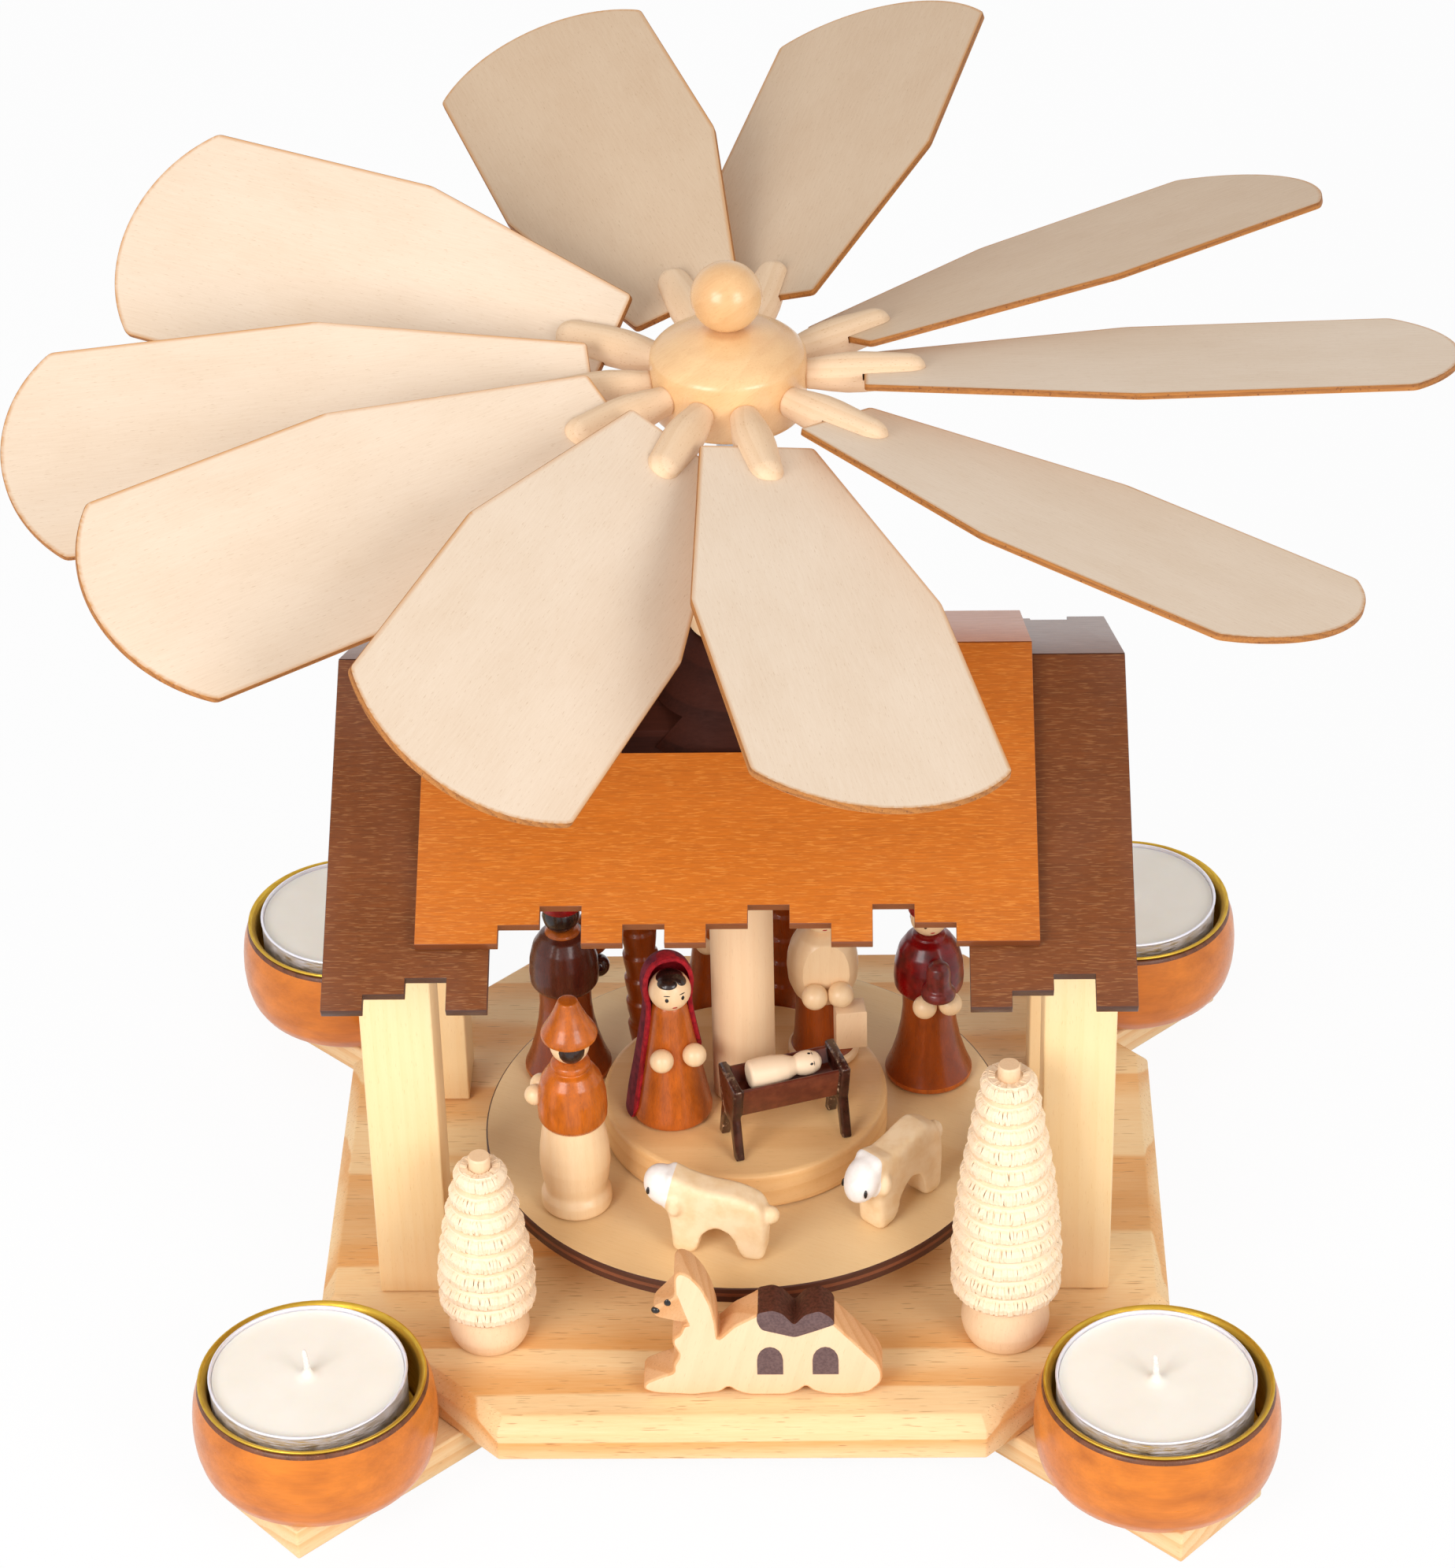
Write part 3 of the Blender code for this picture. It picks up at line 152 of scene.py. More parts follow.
def setSurroundings():
    world = bpy.data.worlds.new("studio")
    world.use_nodes = True
    bpy.context.scene.world = world
    add = partial(addNode, world.node_tree)
    level = add("MapRange", {0: seenDirectly(add), 3: lights["skyLevel"], 4: 1.0})[0]
    plug(world.node_tree.nodes["Background"], {"Color": linear("FFFFFF"), "Strength": level})

    material = bpy.data.materials.new("studioFloor")
    material.use_nodes = True
    nodes = material.node_tree.nodes
    add = partial(addNode, material.node_tree)
    nodes.remove(nodes["Principled BSDF"])
    paper = add("BsdfDiffuse", {"Color": linear(lights["paper"])})[0]
    glow = add("Emission", {"Color": linear("FFFFFF"), "Strength": 1.0})[0]
    share = add("Math", {0: seenDirectly(add), 1: lights["floorGlow"]}, operation="MULTIPLY")[0]
    plug(nodes["Material Output"], {"Surface": add("MixShader", {0: share, 1: paper, 2: glow})[0]})
    shape = bmesh.new()
    bmesh.ops.create_grid(shape, x_segments=1, y_segments=1, size=3.0)
    mesh = bpy.data.meshes.new("floor")
    shape.to_mesh(mesh)
    shape.free()
    mesh.materials.append(material)
    addLinked("floor", mesh)


setSurroundings()
bpy.context.scene.view_settings.view_transform = "Standard"
print("floor and backdrop set")

finishes = {}


def newFinish(name, own=False, **mapping):   # its shader, a way to add nodes, and its pattern's place in mm
    material = finishes[name] = bpy.data.materials.new(name)
    material.use_nodes = True
    add = partial(addNode, material.node_tree)
    source = add("Attribute", attribute_name="board")["Vector"] if own else add("TexCoord")["Object"]
    place = add("Mapping", {"Vector": source, "Scale": [1 / mm] * 3, **mapping})[0]
    return material.node_tree.nodes["Principled BSDF"], add, place


def dress(shader, add, colour, layers, gloss, relief, values):   # links and values of the shader itself
    colour = linear(colour)
    for share, over in layers:   # each colour lies over the last by its share
        colour = add("Mix", {0: share, 6: colour, 7: linear(over)}, data_type="RGBA")[2]
    links = {"Base Color": colour}
    if gloss:
        pattern, low, high = gloss
        links["Roughness"] = add("MapRange", {0: pattern, 1: 0.3, 2: 0.7, 3: low, 4: high})[0]
    if relief:
        height, strength, depth = relief
        links["Normal"] = add("Bump", {"Strength": strength, "Distance": depth * mm, "Height": height})[0]
    plug(shader, {**links, **values})


# A wood's grain runs along X once its turn is made. heart is where the tree's heart lies from the pattern's
# centre, across and below. Rings show as bands, fibres as fine streaks, flecks as short dark dashes. The
# shades are pale, deep and fleck. Real fibres are a tenth as wide: these are as coarse as they must be to show.
plainWood = {
    "own": False, "turn": (0, 0, 0), "heart": (14, 55), "ringMm": 3.2, "wander": 5.0, "ringShare": 0.4,
    "fibreMm": 0.5, "fibreShare": 0.5, "cloudMm": 14, "cloudShare": 0.5, "fleckLong": 2.2, "fleckWide": 0.22,
    "fleckFrom": 0.64, "fleckShare": 0.3, "rough": 0.5, "specular": 0.35, "coat": 0.0, "coatRough": 0.3,
    "bump": 0.25, "burn": None, "cut": None,
}
upright = (0, 90, 0)
pineArm = {"shades": ("F4D8A8", "E2AA68", "A87540"), "rough": 0.45}
bladeSheet = {
    "own": True, "ringMm": 14.0, "wander": 22.0, "ringShare": 0.07, "fibreMm": 0.35, "fibreShare": 0.7,
    "cloudMm": 18, "cloudShare": 0.7, "fleckLong": 1.6, "fleckWide": 0.2, "fleckShare": 0.5, "rough": 0.46,
    "bump": 0.15, "burn": "C98A45",
}
roofSheet = {
    "ringMm": 7.0, "wander": 14.0, "ringShare": 0.08, "fibreMm": 0.3, "fibreShare": 1.5, "cloudMm": 16,
    "cloudShare": 0.3, "fleckLong": 2.6, "fleckWide": 0.26, "fleckFrom": 0.56, "rough": 0.34, "specular": 0.3,
    "coat": 0.15,
}
glazed = {
    "turn": upright, "ringMm": 2.0, "ringShare": 0.1, "fibreMm": 0.25, "specular": 0.3, "coat": 0.25,
    "coatRough": 0.15, "bump": 0.12,
}
woods = {
    # Scots pine, planed, sanded and waxed: straight honey bands and short brown resin lines
    "pineBase": {"shades": ("F6D8A6", "E2A25C", "A06A38"), "heart": (6, 95), "ringMm": 6.5, "wander": 9.0,
                 "ringShare": 0.62, "cloudMm": 30, "fleckLong": 5.0, "fleckWide": 0.3, "fleckShare": 0.6,
                 "rough": 0.42},
    "pineArmA": {**pineArm, "turn": (0, 0, -43.3)},
    "pineArmB": {**pineArm, "turn": (0, 0, -137.9)},
    # Spruce posts: even and yellowish, with close upright grain
    "sprucePost": {"shades": ("FBDFB0", "F0C684", "DCA868"), "turn": upright, "heart": (60, 40), "ringMm": 2.4,
                   "ringShare": 0.12, "rough": 0.42, "fibreShare": 0.3},
    # Maple, turned and polished: a soft honey shade with cloudy figure
    "mapleHub": {"shades": ("EEC692", "CB9058", "C08850"), "turn": (70, 20, 30), "ringMm": 4.5, "cloudMm": 9,
                 "cloudShare": 1.0, "ringShare": 0.1, "fibreMm": 0.35, "rough": 0.3, "coat": 0.35,
                 "coatRough": 0.2, "bump": 0.1},
    "mapleTop": {"shades": ("F6CC92", "E8B476", "C79A62"), "ringMm": 3.4, "cloudMm": 20, "rough": 0.42,
                 "bump": 0.15},
    "columnWood": {"shades": ("F8D8B0", "EFC496", "D8AC78"), "turn": upright, "ringMm": 2.2, "ringShare": 0.15,
                   "fleckShare": 0.2, "rough": 0.45},
    # Birch plywood for the disc: rotary cut, almost plain
    "discTop": {"shades": ("F3D6A6", "E5BC82", "D0AE78"), "turn": (0, 0, 25), "ringMm": 9.0, "wander": 16.0,
                "ringShare": 0.3, "cloudMm": 26, "fibreMm": 0.4, "rough": 0.4, "bump": 0.12},
    "discEdge": {"shades": ("5A3428", "33190F", "2A130B"), "ringShare": 0.2, "fibreMm": 0.3, "rough": 0.4},
    "discCore": {"shades": ("8A5238", "5C3020", "3A1C10"), "ringShare": 0.2, "rough": 0.4},
    # Thin birch plywood, cut by laser: pale beige faces that the beam has scorched at their borders
    "paddleFace": {**bladeSheet, "shades": ("EED9C2", "DCC0A2", "CBAA88")},
    # The three rear blades get this darker copy of the sheet, as painted shade
    "paddleFaceDeep": {**bladeSheet, "shades": ("DDC2A4", "CCAA88", "B89470")},
    "paddleEdge": {"own": True, "shades": ("B87838", "7E4A20", "5C2C16"), "ringMm": 1.2, "fibreMm": 0.3,
                   "fibreShare": 1.2, "fleckLong": 0.5, "fleckWide": 0.5, "fleckShare": 0.7, "rough": 0.6},
    # Raw lime pegs, turned on an automatic lathe: dusty, with fine pores
    "pegWood": {"own": True, "shades": ("EBCDAC", "DDB890", "B98354"), "ringMm": 1.8, "ringShare": 0.3,
                "fleckLong": 0.7, "fleckShare": 0.4, "rough": 0.58},
    # Stained alder plywood of the roof: short pale pores along the boards, satin lacquer
    "roofOrange": {**roofSheet, "shades": ("C86E1E", "9E5212", "DA8C3C"), "fleckShare": 0.5, "cut": "7A3F1C"},
    "roofBrown": {**roofSheet, "shades": ("7C4420", "522A12", "A06E44"), "fleckShare": 0.45, "cut": "4A2A1E"},
    # Turned bowls under an orange glaze, glossy where it pooled
    "bowlOrange": {"shades": ("DE7E20", "A0500E", "A04E18"), "ringMm": 6.0, "ringShare": 0.08, "cloudMm": 5,
                   "cloudShare": 1.2, "fleckShare": 0.1, "rough": 0.32, "coat": 0.25, "coatRough": 0.18,
                   "bump": 0.05},
    "bowlRim": {"shades": ("7A4426", "4E2814", "B98A5C"), "turn": upright, "fleckShare": 0.5, "rough": 0.45,
                "coat": 0.2},
    # Glazed figures: the stain is thin enough for the grain to show
    "glazeOrange": {**glazed, "shades": ("CE6A22", "7E3A0E", "7A3812"), "cloudMm": 2.5, "cloudShare": 1.0,
                    "fibreShare": 0.9, "rough": 0.3},
    "glazeAmber": {**glazed, "shades": ("D26E1C", "7C380E", "5A260E"), "cloudMm": 2.5, "cloudShare": 1.0,
                   "fibreShare": 0.9, "rough": 0.28},
    "glazeBrown": {**glazed, "shades": ("A2480F", "5E2408", "4A1E0C"), "cloudMm": 3, "cloudShare": 0.9,
                   "fibreShare": 0.8, "rough": 0.3},
    "glazeDark": {**glazed, "shades": ("6A3020", "30110A", "240E08"), "cloudMm": 3, "cloudShare": 0.9,
                  "fibreShare": 0.8, "rough": 0.28},
    "glazeUmber": {"shades": ("4A2016", "200B07", "120504"), "ringMm": 9.0, "ringShare": 0.3, "cloudMm": 7,
                   "cloudShare": 0.7, "rough": 0.22, "coat": 0.6, "coatRough": 0.1, "bump": 0.08},
    # Walnut-stained pine round the bearing, matt, and made darker still as painted shade inside the roof's opening
    "umberStain": {"shades": ("3C1A10", "26100A", "240E08"), "ringMm": 7.0, "cloudMm": 8, "fibreShare": 0.8,
                   "rough": 0.6, "bump": 0.2, "specular": 0.08},
    # Small natural pieces under clear lacquer
    "limeWood": {"shades": ("F8DAB0", "EDC492", "D8AC78"), "turn": upright, "ringMm": 1.6, "ringShare": 0.12,
                 "cloudMm": 5, "fibreMm": 0.25, "fleckShare": 0.2, "rough": 0.38, "coat": 0.3,
                 "coatRough": 0.25, "bump": 0.1},
    "infantWood": {"shades": ("F8DFC0", "F0CFA8", "E6C096"), "ringShare": 0.05, "fibreShare": 0.2,
                   "cloudShare": 0.3, "fleckShare": 0.0, "rough": 0.4, "bump": 0.03},
    "camelFace": {"shades": ("F0D2AC", "E8C096", "CE9C68"), "turn": (0, 75, 0), "heart": (70, 8), "ringMm": 3.6,
                  "ringShare": 0.16, "wander": 4.0, "cloudMm": 8, "rough": 0.42, "bump": 0.1},
    "camelCut": {"shades": ("E8B888", "D09258", "AC7848"), "turn": (0, 60, 0), "fibreMm": 0.25,
                 "fibreShare": 0.9, "fleckLong": 0.5, "fleckWide": 0.3, "fleckShare": 0.5, "rough": 0.6},
    # Lime shavings, curled off the blank with a chisel
    "shaving": {"shades": ("FAE6CA", "F0D0A8", "D8AC7C"), "turn": upright, "ringMm": 2.5, "ringShare": 0.1,
                "cloudMm": 3, "cloudShare": 0.7, "fibreMm": 0.2, "rough": 0.7, "fleckShare": 0.4},
    "treeFoot": {"shades": ("F3D5B0", "E3B98C", "C79464"), "turn": upright, "ringMm": 1.6, "ringShare": 0.05,
                 "bump": 0.15},
}


def woodFinish(name, ownLook):   # rings, fibres and clouds make one tone, and dashes lie over it
    look = {**plainWood, **ownLook}
    pale, deep, fleck = look["shades"]
    turn = [math.radians(angle) for angle in look["turn"]]
    shader, add, board = newFinish(name, look["own"], Location=(0.0, *look["heart"]), Rotation=turn)

    def grain(long, wide, detail):   # a noise drawn out along the grain, long and wide in mm
        vector = add("VectorMath", {0: board, 1: (1 / long, 1 / wide, 1 / wide)}, operation="MULTIPLY")[0]
        return add("TexNoise", {"Vector": vector, "Scale": 1.0, "Detail": detail, "Roughness": 0.6})

    section = add("VectorMath", {0: board, 1: (0.0, 1.0, 1.0)}, operation="MULTIPLY")[0]
    bent = {0: grain(300.0, 22.0, 2.0)["Color"], 1: (0.0, look["wander"], look["wander"]), 2: section}
    centre = add("VectorMath", bent, operation="MULTIPLY_ADD")[0]
    distance = add("VectorMath", {0: centre}, operation="LENGTH")["Value"]
    years = add("Math", {0: distance, 1: look["ringMm"]}, operation="DIVIDE")[0]
    season = add("Math", {0: years}, operation="FRACT")[0]
    rise = add("MapRange", {0: season, 1: 0.3, 2: 0.9}, interpolation_type="SMOOTHSTEP")[0]
    fall = add("MapRange", {0: season, 1: 0.92, 2: 1.0, 3: 1.0, 4: 0.0}, interpolation_type="SMOOTHSTEP")[0]
    late = add("Math", {0: rise, 1: fall}, operation="MULTIPLY")[0]
    fibre = grain(look["fibreMm"] * 16, look["fibreMm"], 4.0)["Fac"]
    cloud = grain(look["cloudMm"] * 2, look["cloudMm"], 2.0)["Fac"]
    tone = 0.28 - (look["fibreShare"] + look["cloudShare"]) / 2
    for pattern, share in ((fibre, look["fibreShare"]), (cloud, look["cloudShare"])):
        tone = add("Math", {0: pattern, 1: share, 2: tone}, operation="MULTIPLY_ADD")[0]
    tone = add("Math", {0: late, 1: look["ringShare"], 2: tone}, operation="MULTIPLY_ADD", use_clamp=True)[0]
    dashes = grain(look["fleckLong"], look["fleckWide"], 1.0)["Fac"]
    spots = {0: dashes, 1: look["fleckFrom"], 2: look["fleckFrom"] + 0.1, 4: look["fleckShare"]}
    spots = add("MapRange", spots, interpolation_type="SMOOTHSTEP")[0]
    layers = [(tone, deep), (spots, fleck)]
    if look["burn"]:
        layers.append((add("Attribute", attribute_name="scorch")["Fac"], look["burn"]))
    if look["cut"]:   # the sawn edges of a sloping board, whose faces look up or down
        facing = add("SeparateXYZ", {0: add("TexCoord")["Normal"]})["Z"]
        steep = add("Math", {0: facing}, operation="ABSOLUTE")[0]
        layers.append((add("MapRange", {0: steep, 1: 0.6, 2: 0.8, 3: 1.0, 4: 0.0})[0], look["cut"]))
    height = add("Math", {0: fibre, 1: spots}, operation="SUBTRACT")[0]
    dress(shader, add, pale, layers, (fibre, look["rough"] - 0.05, look["rough"] + 0.07),
          (height, look["bump"], 0.06),
          {"IOR": 1.5, "Specular IOR Level": look["specular"], "Coat Weight": look["coat"],
           "Coat Roughness": look["coatRough"]})


plainPaint = {"patchMm": 1.0, "coat": 0.0, "bump": 0.1, "worn": None}
paints = {
    # Red craft paint on a felt-like ground: matt, patchy, darker where it is thick
    "redHood": {"shades": ("B81F2B", "8C1422"), "patchMm": 1.2, "rough": 0.7, "bump": 0.5},
    # The cape's outside: the hood's red made darker, as painted shade
    "redCape": {"shades": ("7C2236", "571628"), "patchMm": 1.6, "rough": 0.7, "bump": 0.4},
    # Glossy stains under lacquer
    "redCap": {"shades": ("A81016", "7A0A10"), "patchMm": 2.0, "rough": 0.35, "coat": 0.2},
    "darkRed": {"shades": ("7E0406", "520304"), "patchMm": 3.0, "rough": 0.25, "coat": 0.3},
    "plum": {"shades": ("7E2C28", "56201C"), "patchMm": 2.0, "rough": 0.28, "coat": 0.35},
    # Brown-black enamel of the crib, rubbed through to pale wood on its corners
    "cribPaint": {"shades": ("2E130D", "46211A"), "patchMm": 1.6, "rough": 0.26, "coat": 0.4, "bump": 0.5,
                  "worn": "C9A98C"},
    "cribSide": {"shades": ("5C2416", "743622"), "patchMm": 2.4, "rough": 0.3, "coat": 0.3, "bump": 0.3},
    # Thin brown printing ink on the camel, rubbed through in the same way
    "saddlePaint": {"shades": ("5C2E1E", "40200F"), "patchMm": 0.6, "rough": 0.6, "bump": 0.8,
                    "worn": "D8C2AA"},
    "patchPaint": {"shades": ("6E5654", "5C4645"), "patchMm": 0.5, "rough": 0.6, "bump": 0.4},
    # Cream and white enamel of the sheep
    "sheepCream": {"shades": ("F9DFB8", "F0CFA0"), "patchMm": 4.0, "rough": 0.42, "coat": 0.1},
    "sheepWhite": {"shades": ("F6F2EE", "EEE8E2"), "patchMm": 2.0, "rough": 0.4, "coat": 0.1, "bump": 0.2},
    # Enamel dabbed on with a fine brush
    "hairPaint": {"shades": ("2E1A14", "1C0F0B"), "rough": 0.25, "coat": 0.5},
    "blackDot": {"shades": ("1C1614", "120D0C"), "rough": 0.2, "coat": 0.5, "bump": 0.0},
    "redDot": {"shades": ("C0302A", "A82420"), "rough": 0.3, "coat": 0.3, "bump": 0.0},
    # Braided cotton of the wicks
    "cotton": {"shades": ("F3EEE8", "E2DAD0"), "patchMm": 0.5, "rough": 0.6, "bump": 0.5},
}


def paintFinish(name, ownLook):
    look = {**plainPaint, **ownLook}
    colour, other = look["shades"]
    shader, add, place = newFinish(name)
    patch = add("TexNoise", {"Vector": place, "Scale": 1 / look["patchMm"], "Detail": 4.0, "Roughness": 0.6})["Fac"]
    layers = [(add("MapRange", {0: patch, 1: 0.4, 2: 0.65})[0], other)]
    if look["worn"]:   # bare wood on the sharpest corners, in broken lines
        corner = add("MapRange", {0: add("NewGeometry")["Pointiness"], 1: 0.56, 2: 0.62})[0]
        broken = add("TexNoise", {"Vector": place, "Scale": 1.1, "Detail": 3.0})["Fac"]
        broken = add("MapRange", {0: broken, 1: 0.54, 2: 0.6})[0]
        layers.append((add("Math", {0: corner, 1: broken}, operation="MULTIPLY")[0], look["worn"]))
    dress(shader, add, colour, layers, (patch, look["rough"], look["rough"] + 0.1), (patch, look["bump"], 0.05),
          {"IOR": 1.48, "Specular IOR Level": 0.3, "Coat Weight": look["coat"], "Coat Roughness": 0.15})


metals = {
    # Brass-plated steel, spun, with a lacquered warm shine
    "brassSpun": {"shades": ("E0BA4C", "B88E2E"), "rough": 0.36, "streak": 0.5},
    "brassTurned": {"shades": ("C9A544", "A5832E"), "rough": 0.3, "streak": 0.5},
    # Thin rolled aluminium of a tealight's tin
    "tinFoil": {"shades": ("F4F2F8", "E0DEE6"), "rough": 0.5, "streak": 0.8},
    # Drawn steel of the spindle: fine rings round it from the lathe
    "steelRod": {"shades": ("C4C4C6", "A2A2A6"), "rough": 0.25, "streak": 0.5},
}


def metalFinish(name, look):
    colour, other = look["shades"]
    shader, add, place = newFinish(name, Scale=(0.4 / mm, 0.4 / mm, 6.0 / mm))
    streak = add("TexNoise", {"Vector": place, "Scale": 1.0, "Detail": 3.0})["Fac"]
    low, high = look["rough"] * (1 - look["streak"] / 2), look["rough"] * (1 + look["streak"])
    dress(shader, add, colour, [(streak, other)], (streak, low, high), None, {"Metallic": 1.0})


def waxFinish(name):   # paraffin wax, poured: milky, light sinks in before it comes back
    shader, add, place = newFinish(name)
    cloud = add("TexNoise", {"Vector": place, "Scale": 0.12, "Detail": 3.0})["Fac"]
    dress(shader, add, "F6F1E9", [(cloud, "EDE6DA")], None, (cloud, 0.15, 0.1),
          {"Roughness": 0.38, "IOR": 1.44, "Subsurface Weight": 0.5, "Subsurface Radius": (1.0, 0.8, 0.6),
           "Subsurface Scale": 2.0 * mm})


for mixed, looks in ((woodFinish, woods), (paintFinish, paints), (metalFinish, metals)):
    for name, look in looks.items():
        mixed(name, look)
waxFinish("wax")
print(len(finishes), "finishes mixed")


def softened(points, cut, steps=4, closed=False):   # the same outline with each corner rounded off by cut
    points = [Vector(point) for point in points]
    ring = [points[-1]] + points + [points[0]] if closed else points
    rounded = []
    for before, corner, after in zip(ring, ring[1:], ring[2:]):
        start = corner + (before - corner).normalized() * min(cut, (before - corner).length * 0.45)
        end = corner + (after - corner).normalized() * min(cut, (after - corner).length * 0.45)
        for i in range(steps + 1):
            share = i / steps
            rounded.append(start.lerp(corner, share).lerp(corner.lerp(end, share), share))
    return rounded if closed else [points[0]] + rounded + [points[-1]]


def spun(profile, sides=48, cut=0.0):   # a turned shape, from its profile of radius and height
    shape = bmesh.new()
    line = [shape.verts.new((r * mm, 0.0, z * mm)) for r, z in (softened(profile, cut) if cut else profile)]
    wire = [shape.edges.new(pair) for pair in zip(line, line[1:])]
    bmesh.ops.spin(shape, geom=line + wire, cent=(0, 0, 0), axis=(0, 0, 1), angle=math.tau, steps=sides, use_merge=True)
    bmesh.ops.remove_doubles(shape, verts=shape.verts, dist=0.001 * mm)
    bmesh.ops.recalc_face_normals(shape, faces=shape.faces)
    return shape


def banded(shape, *bands):   # gives the faces below each height its finish, from the lowest band up
    for face in shape.faces:
        height = face.calc_center_median().z / mm
        face.material_index = next(finish for top, finish in bands if height <= top)
    return shape


def ballShape(radius, centre=(0, 0, 0), stretch=(1, 1, 1), around=32, turn=None):
    shape = bmesh.new()
    place = Matrix.Translation(Vector(centre) * mm) @ (turn or Matrix()) @ Matrix.Diagonal((*stretch, 1))
    bmesh.ops.create_uvsphere(shape, u_segments=around, v_segments=around // 2, radius=radius * mm, matrix=place)
    return shape


def sawnShape(outline, thickness, ease=0.0, segments=2, edgeFinish=0):   # a board in X and Y, thick along Z
    shape = bmesh.new()
    face = shape.faces.new([shape.verts.new((x * mm, y * mm, -thickness / 2 * mm)) for x, y in outline])
    raised = bmesh.ops.extrude_face_region(shape, geom=[face])["geom"]
    lifted = [item for item in raised if isinstance(item, bmesh.types.BMVert)]
    bmesh.ops.translate(shape, verts=lifted, vec=(0, 0, thickness * mm))
    bmesh.ops.recalc_face_normals(shape, faces=shape.faces)
    for side in shape.faces:
        side.material_index = 0 if abs(side.normal.z) > 0.9 else edgeFinish
    if ease:
        rims = [edge for edge in shape.edges if abs(edge.verts[0].co.z - edge.verts[1].co.z) < 0.001 * mm]
        bmesh.ops.bevel(shape, geom=rims, offset=ease * mm, offset_type="OFFSET", segments=segments,
                        profile=0.5, affect="EDGES", material=-1, clamp_overlap=False)
    return shape


def blockShape(sizes, *places):   # a box at each place
    shape = bmesh.new()
    for place in places:
        bmesh.ops.create_cube(shape, size=1.0, matrix=place @ Matrix.Diagonal((*[side * mm for side in sizes], 1)))
    bmesh.ops.recalc_face_normals(shape, faces=shape.faces)
    return shape


def sliced(shape, point, outward, drop=True):   # a flat cut, which may drop what lies outward of it
    everything = shape.verts[:] + shape.edges[:] + shape.faces[:]
    return bmesh.ops.bisect_plane(shape, geom=everything, plane_co=Vector(point) * mm, plane_no=outward,
                                  clear_outer=drop)["geom_cut"]


def boardFrom(node, ease, segments=2):   # a copy of a packed board, its triangles joined up and its edges eased
    shape = bmesh.new()
    shape.from_mesh(frame["nodes"][node].data)
    bmesh.ops.remove_doubles(shape, verts=shape.verts, dist=0.01 * mm)
    bmesh.ops.dissolve_limit(shape, angle_limit=math.radians(1), verts=shape.verts, edges=shape.edges)
    sharp = [edge for edge in shape.edges if len(edge.link_faces) == 2 and edge.calc_face_angle() > math.radians(25)]
    bmesh.ops.bevel(shape, geom=sharp, offset=ease * mm, offset_type="OFFSET", segments=segments,
                    profile=0.5, affect="EDGES", material=-1, clamp_overlap=True)
    return shape


def joined(first, *others, finish=0):   # several shapes in one, all but the first with this finish
    for shape in others:
        for face in shape.faces:
            face.material_index = finish
        mesh = bpy.data.meshes.new("joining")
        shape.to_mesh(mesh)
        shape.free()
        first.from_mesh(mesh)
        bpy.data.meshes.remove(mesh)
    return first


def heldAs(shape):   # a passing object that modifiers can work on
    mesh = bpy.data.meshes.new("working")
    shape.to_mesh(mesh)
    shape.free()
    return addLinked("working", mesh)


def worked(shape, steps, cutter=None):   # the shape after some modifiers, with their settings
    held = heldAs(shape)
    tool = heldAs(cutter) if cutter else None
    for kind, settings in steps:
        modifier = held.modifiers.new(kind, kind)
        for name, value in settings.items():
            setattr(modifier, name, value)
        if kind == "BOOLEAN":
            modifier.object = tool
    done = bmesh.new()
    done.from_object(held, bpy.context.evaluated_depsgraph_get())
    for spent in (held, tool):
        if spent:
            bpy.data.objects.remove(spent, do_unlink=True)
    return done


cutOut = [("BOOLEAN", {"operation": "DIFFERENCE", "solver": "EXACT"})]


def finished(name, shape, look, body, replaced=(), place=None, sharp=32.0, own=False):
    seats = [vertex.co.copy() for vertex in shape.verts]
    if place is not None:
        bmesh.ops.transform(shape, matrix=place, verts=shape.verts)
    mesh = bpy.data.meshes.new(name)
    shape.to_mesh(mesh)
    shape.free()
    for finish in look:
        mesh.materials.append(finishes[finish])
    if own:   # the grain follows the piece itself, wherever it is turned to
        board = mesh.attributes.new("board", "FLOAT_VECTOR", "POINT")
        board.data.foreach_set("vector", [part for seat in seats for part in seat])
    mesh.shade_smooth()
    mesh.set_sharp_from_angle(angle=math.radians(sharp))
    piece = addLinked(name, mesh)
    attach(piece, body)
    if replaced:
        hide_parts(*replaced)
    return piece


def at(x, y, z, facing=0.0):   # a place in mm, and a turn from the front towards +X
    return Matrix.Translation(Vector((x, y, z)) * mm) @ Matrix.Rotation(math.radians(facing), 4, "Z")


# Boards of the fixed frame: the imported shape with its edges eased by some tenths
boards = {
    "cross_bar_a": ("pineArmA", "pine", 0.5),
    "cross_bar_b": ("pineArmB", "pine", 0.5),
    "base_plate": ("pineBase", "pine", 0.3),
}
boards.update({"post_" + corner: ("sprucePost", "pale_wood", 0.4) for corner in corners})
# The bridge takes the dark stain partly as painted shade in the roof's opening
boards["bearing_bridge"] = ("umberStain", "dark_stain", 0.3)
for side, finish in (("left", "roofBrown"), ("right", "roofBrown"), ("middle", "roofOrange")):
    for front in ("front", "rear"):
        boards[f"roof_{side}_{front}"] = (finish, "orange_stain" if side == "middle" else "brown_stain", 0.12)
for node, (finish, slot, ease) in boards.items():
    finished(node + "_board", boardFrom(node, ease), [finish], "frame", [node])
print("frame boards done")

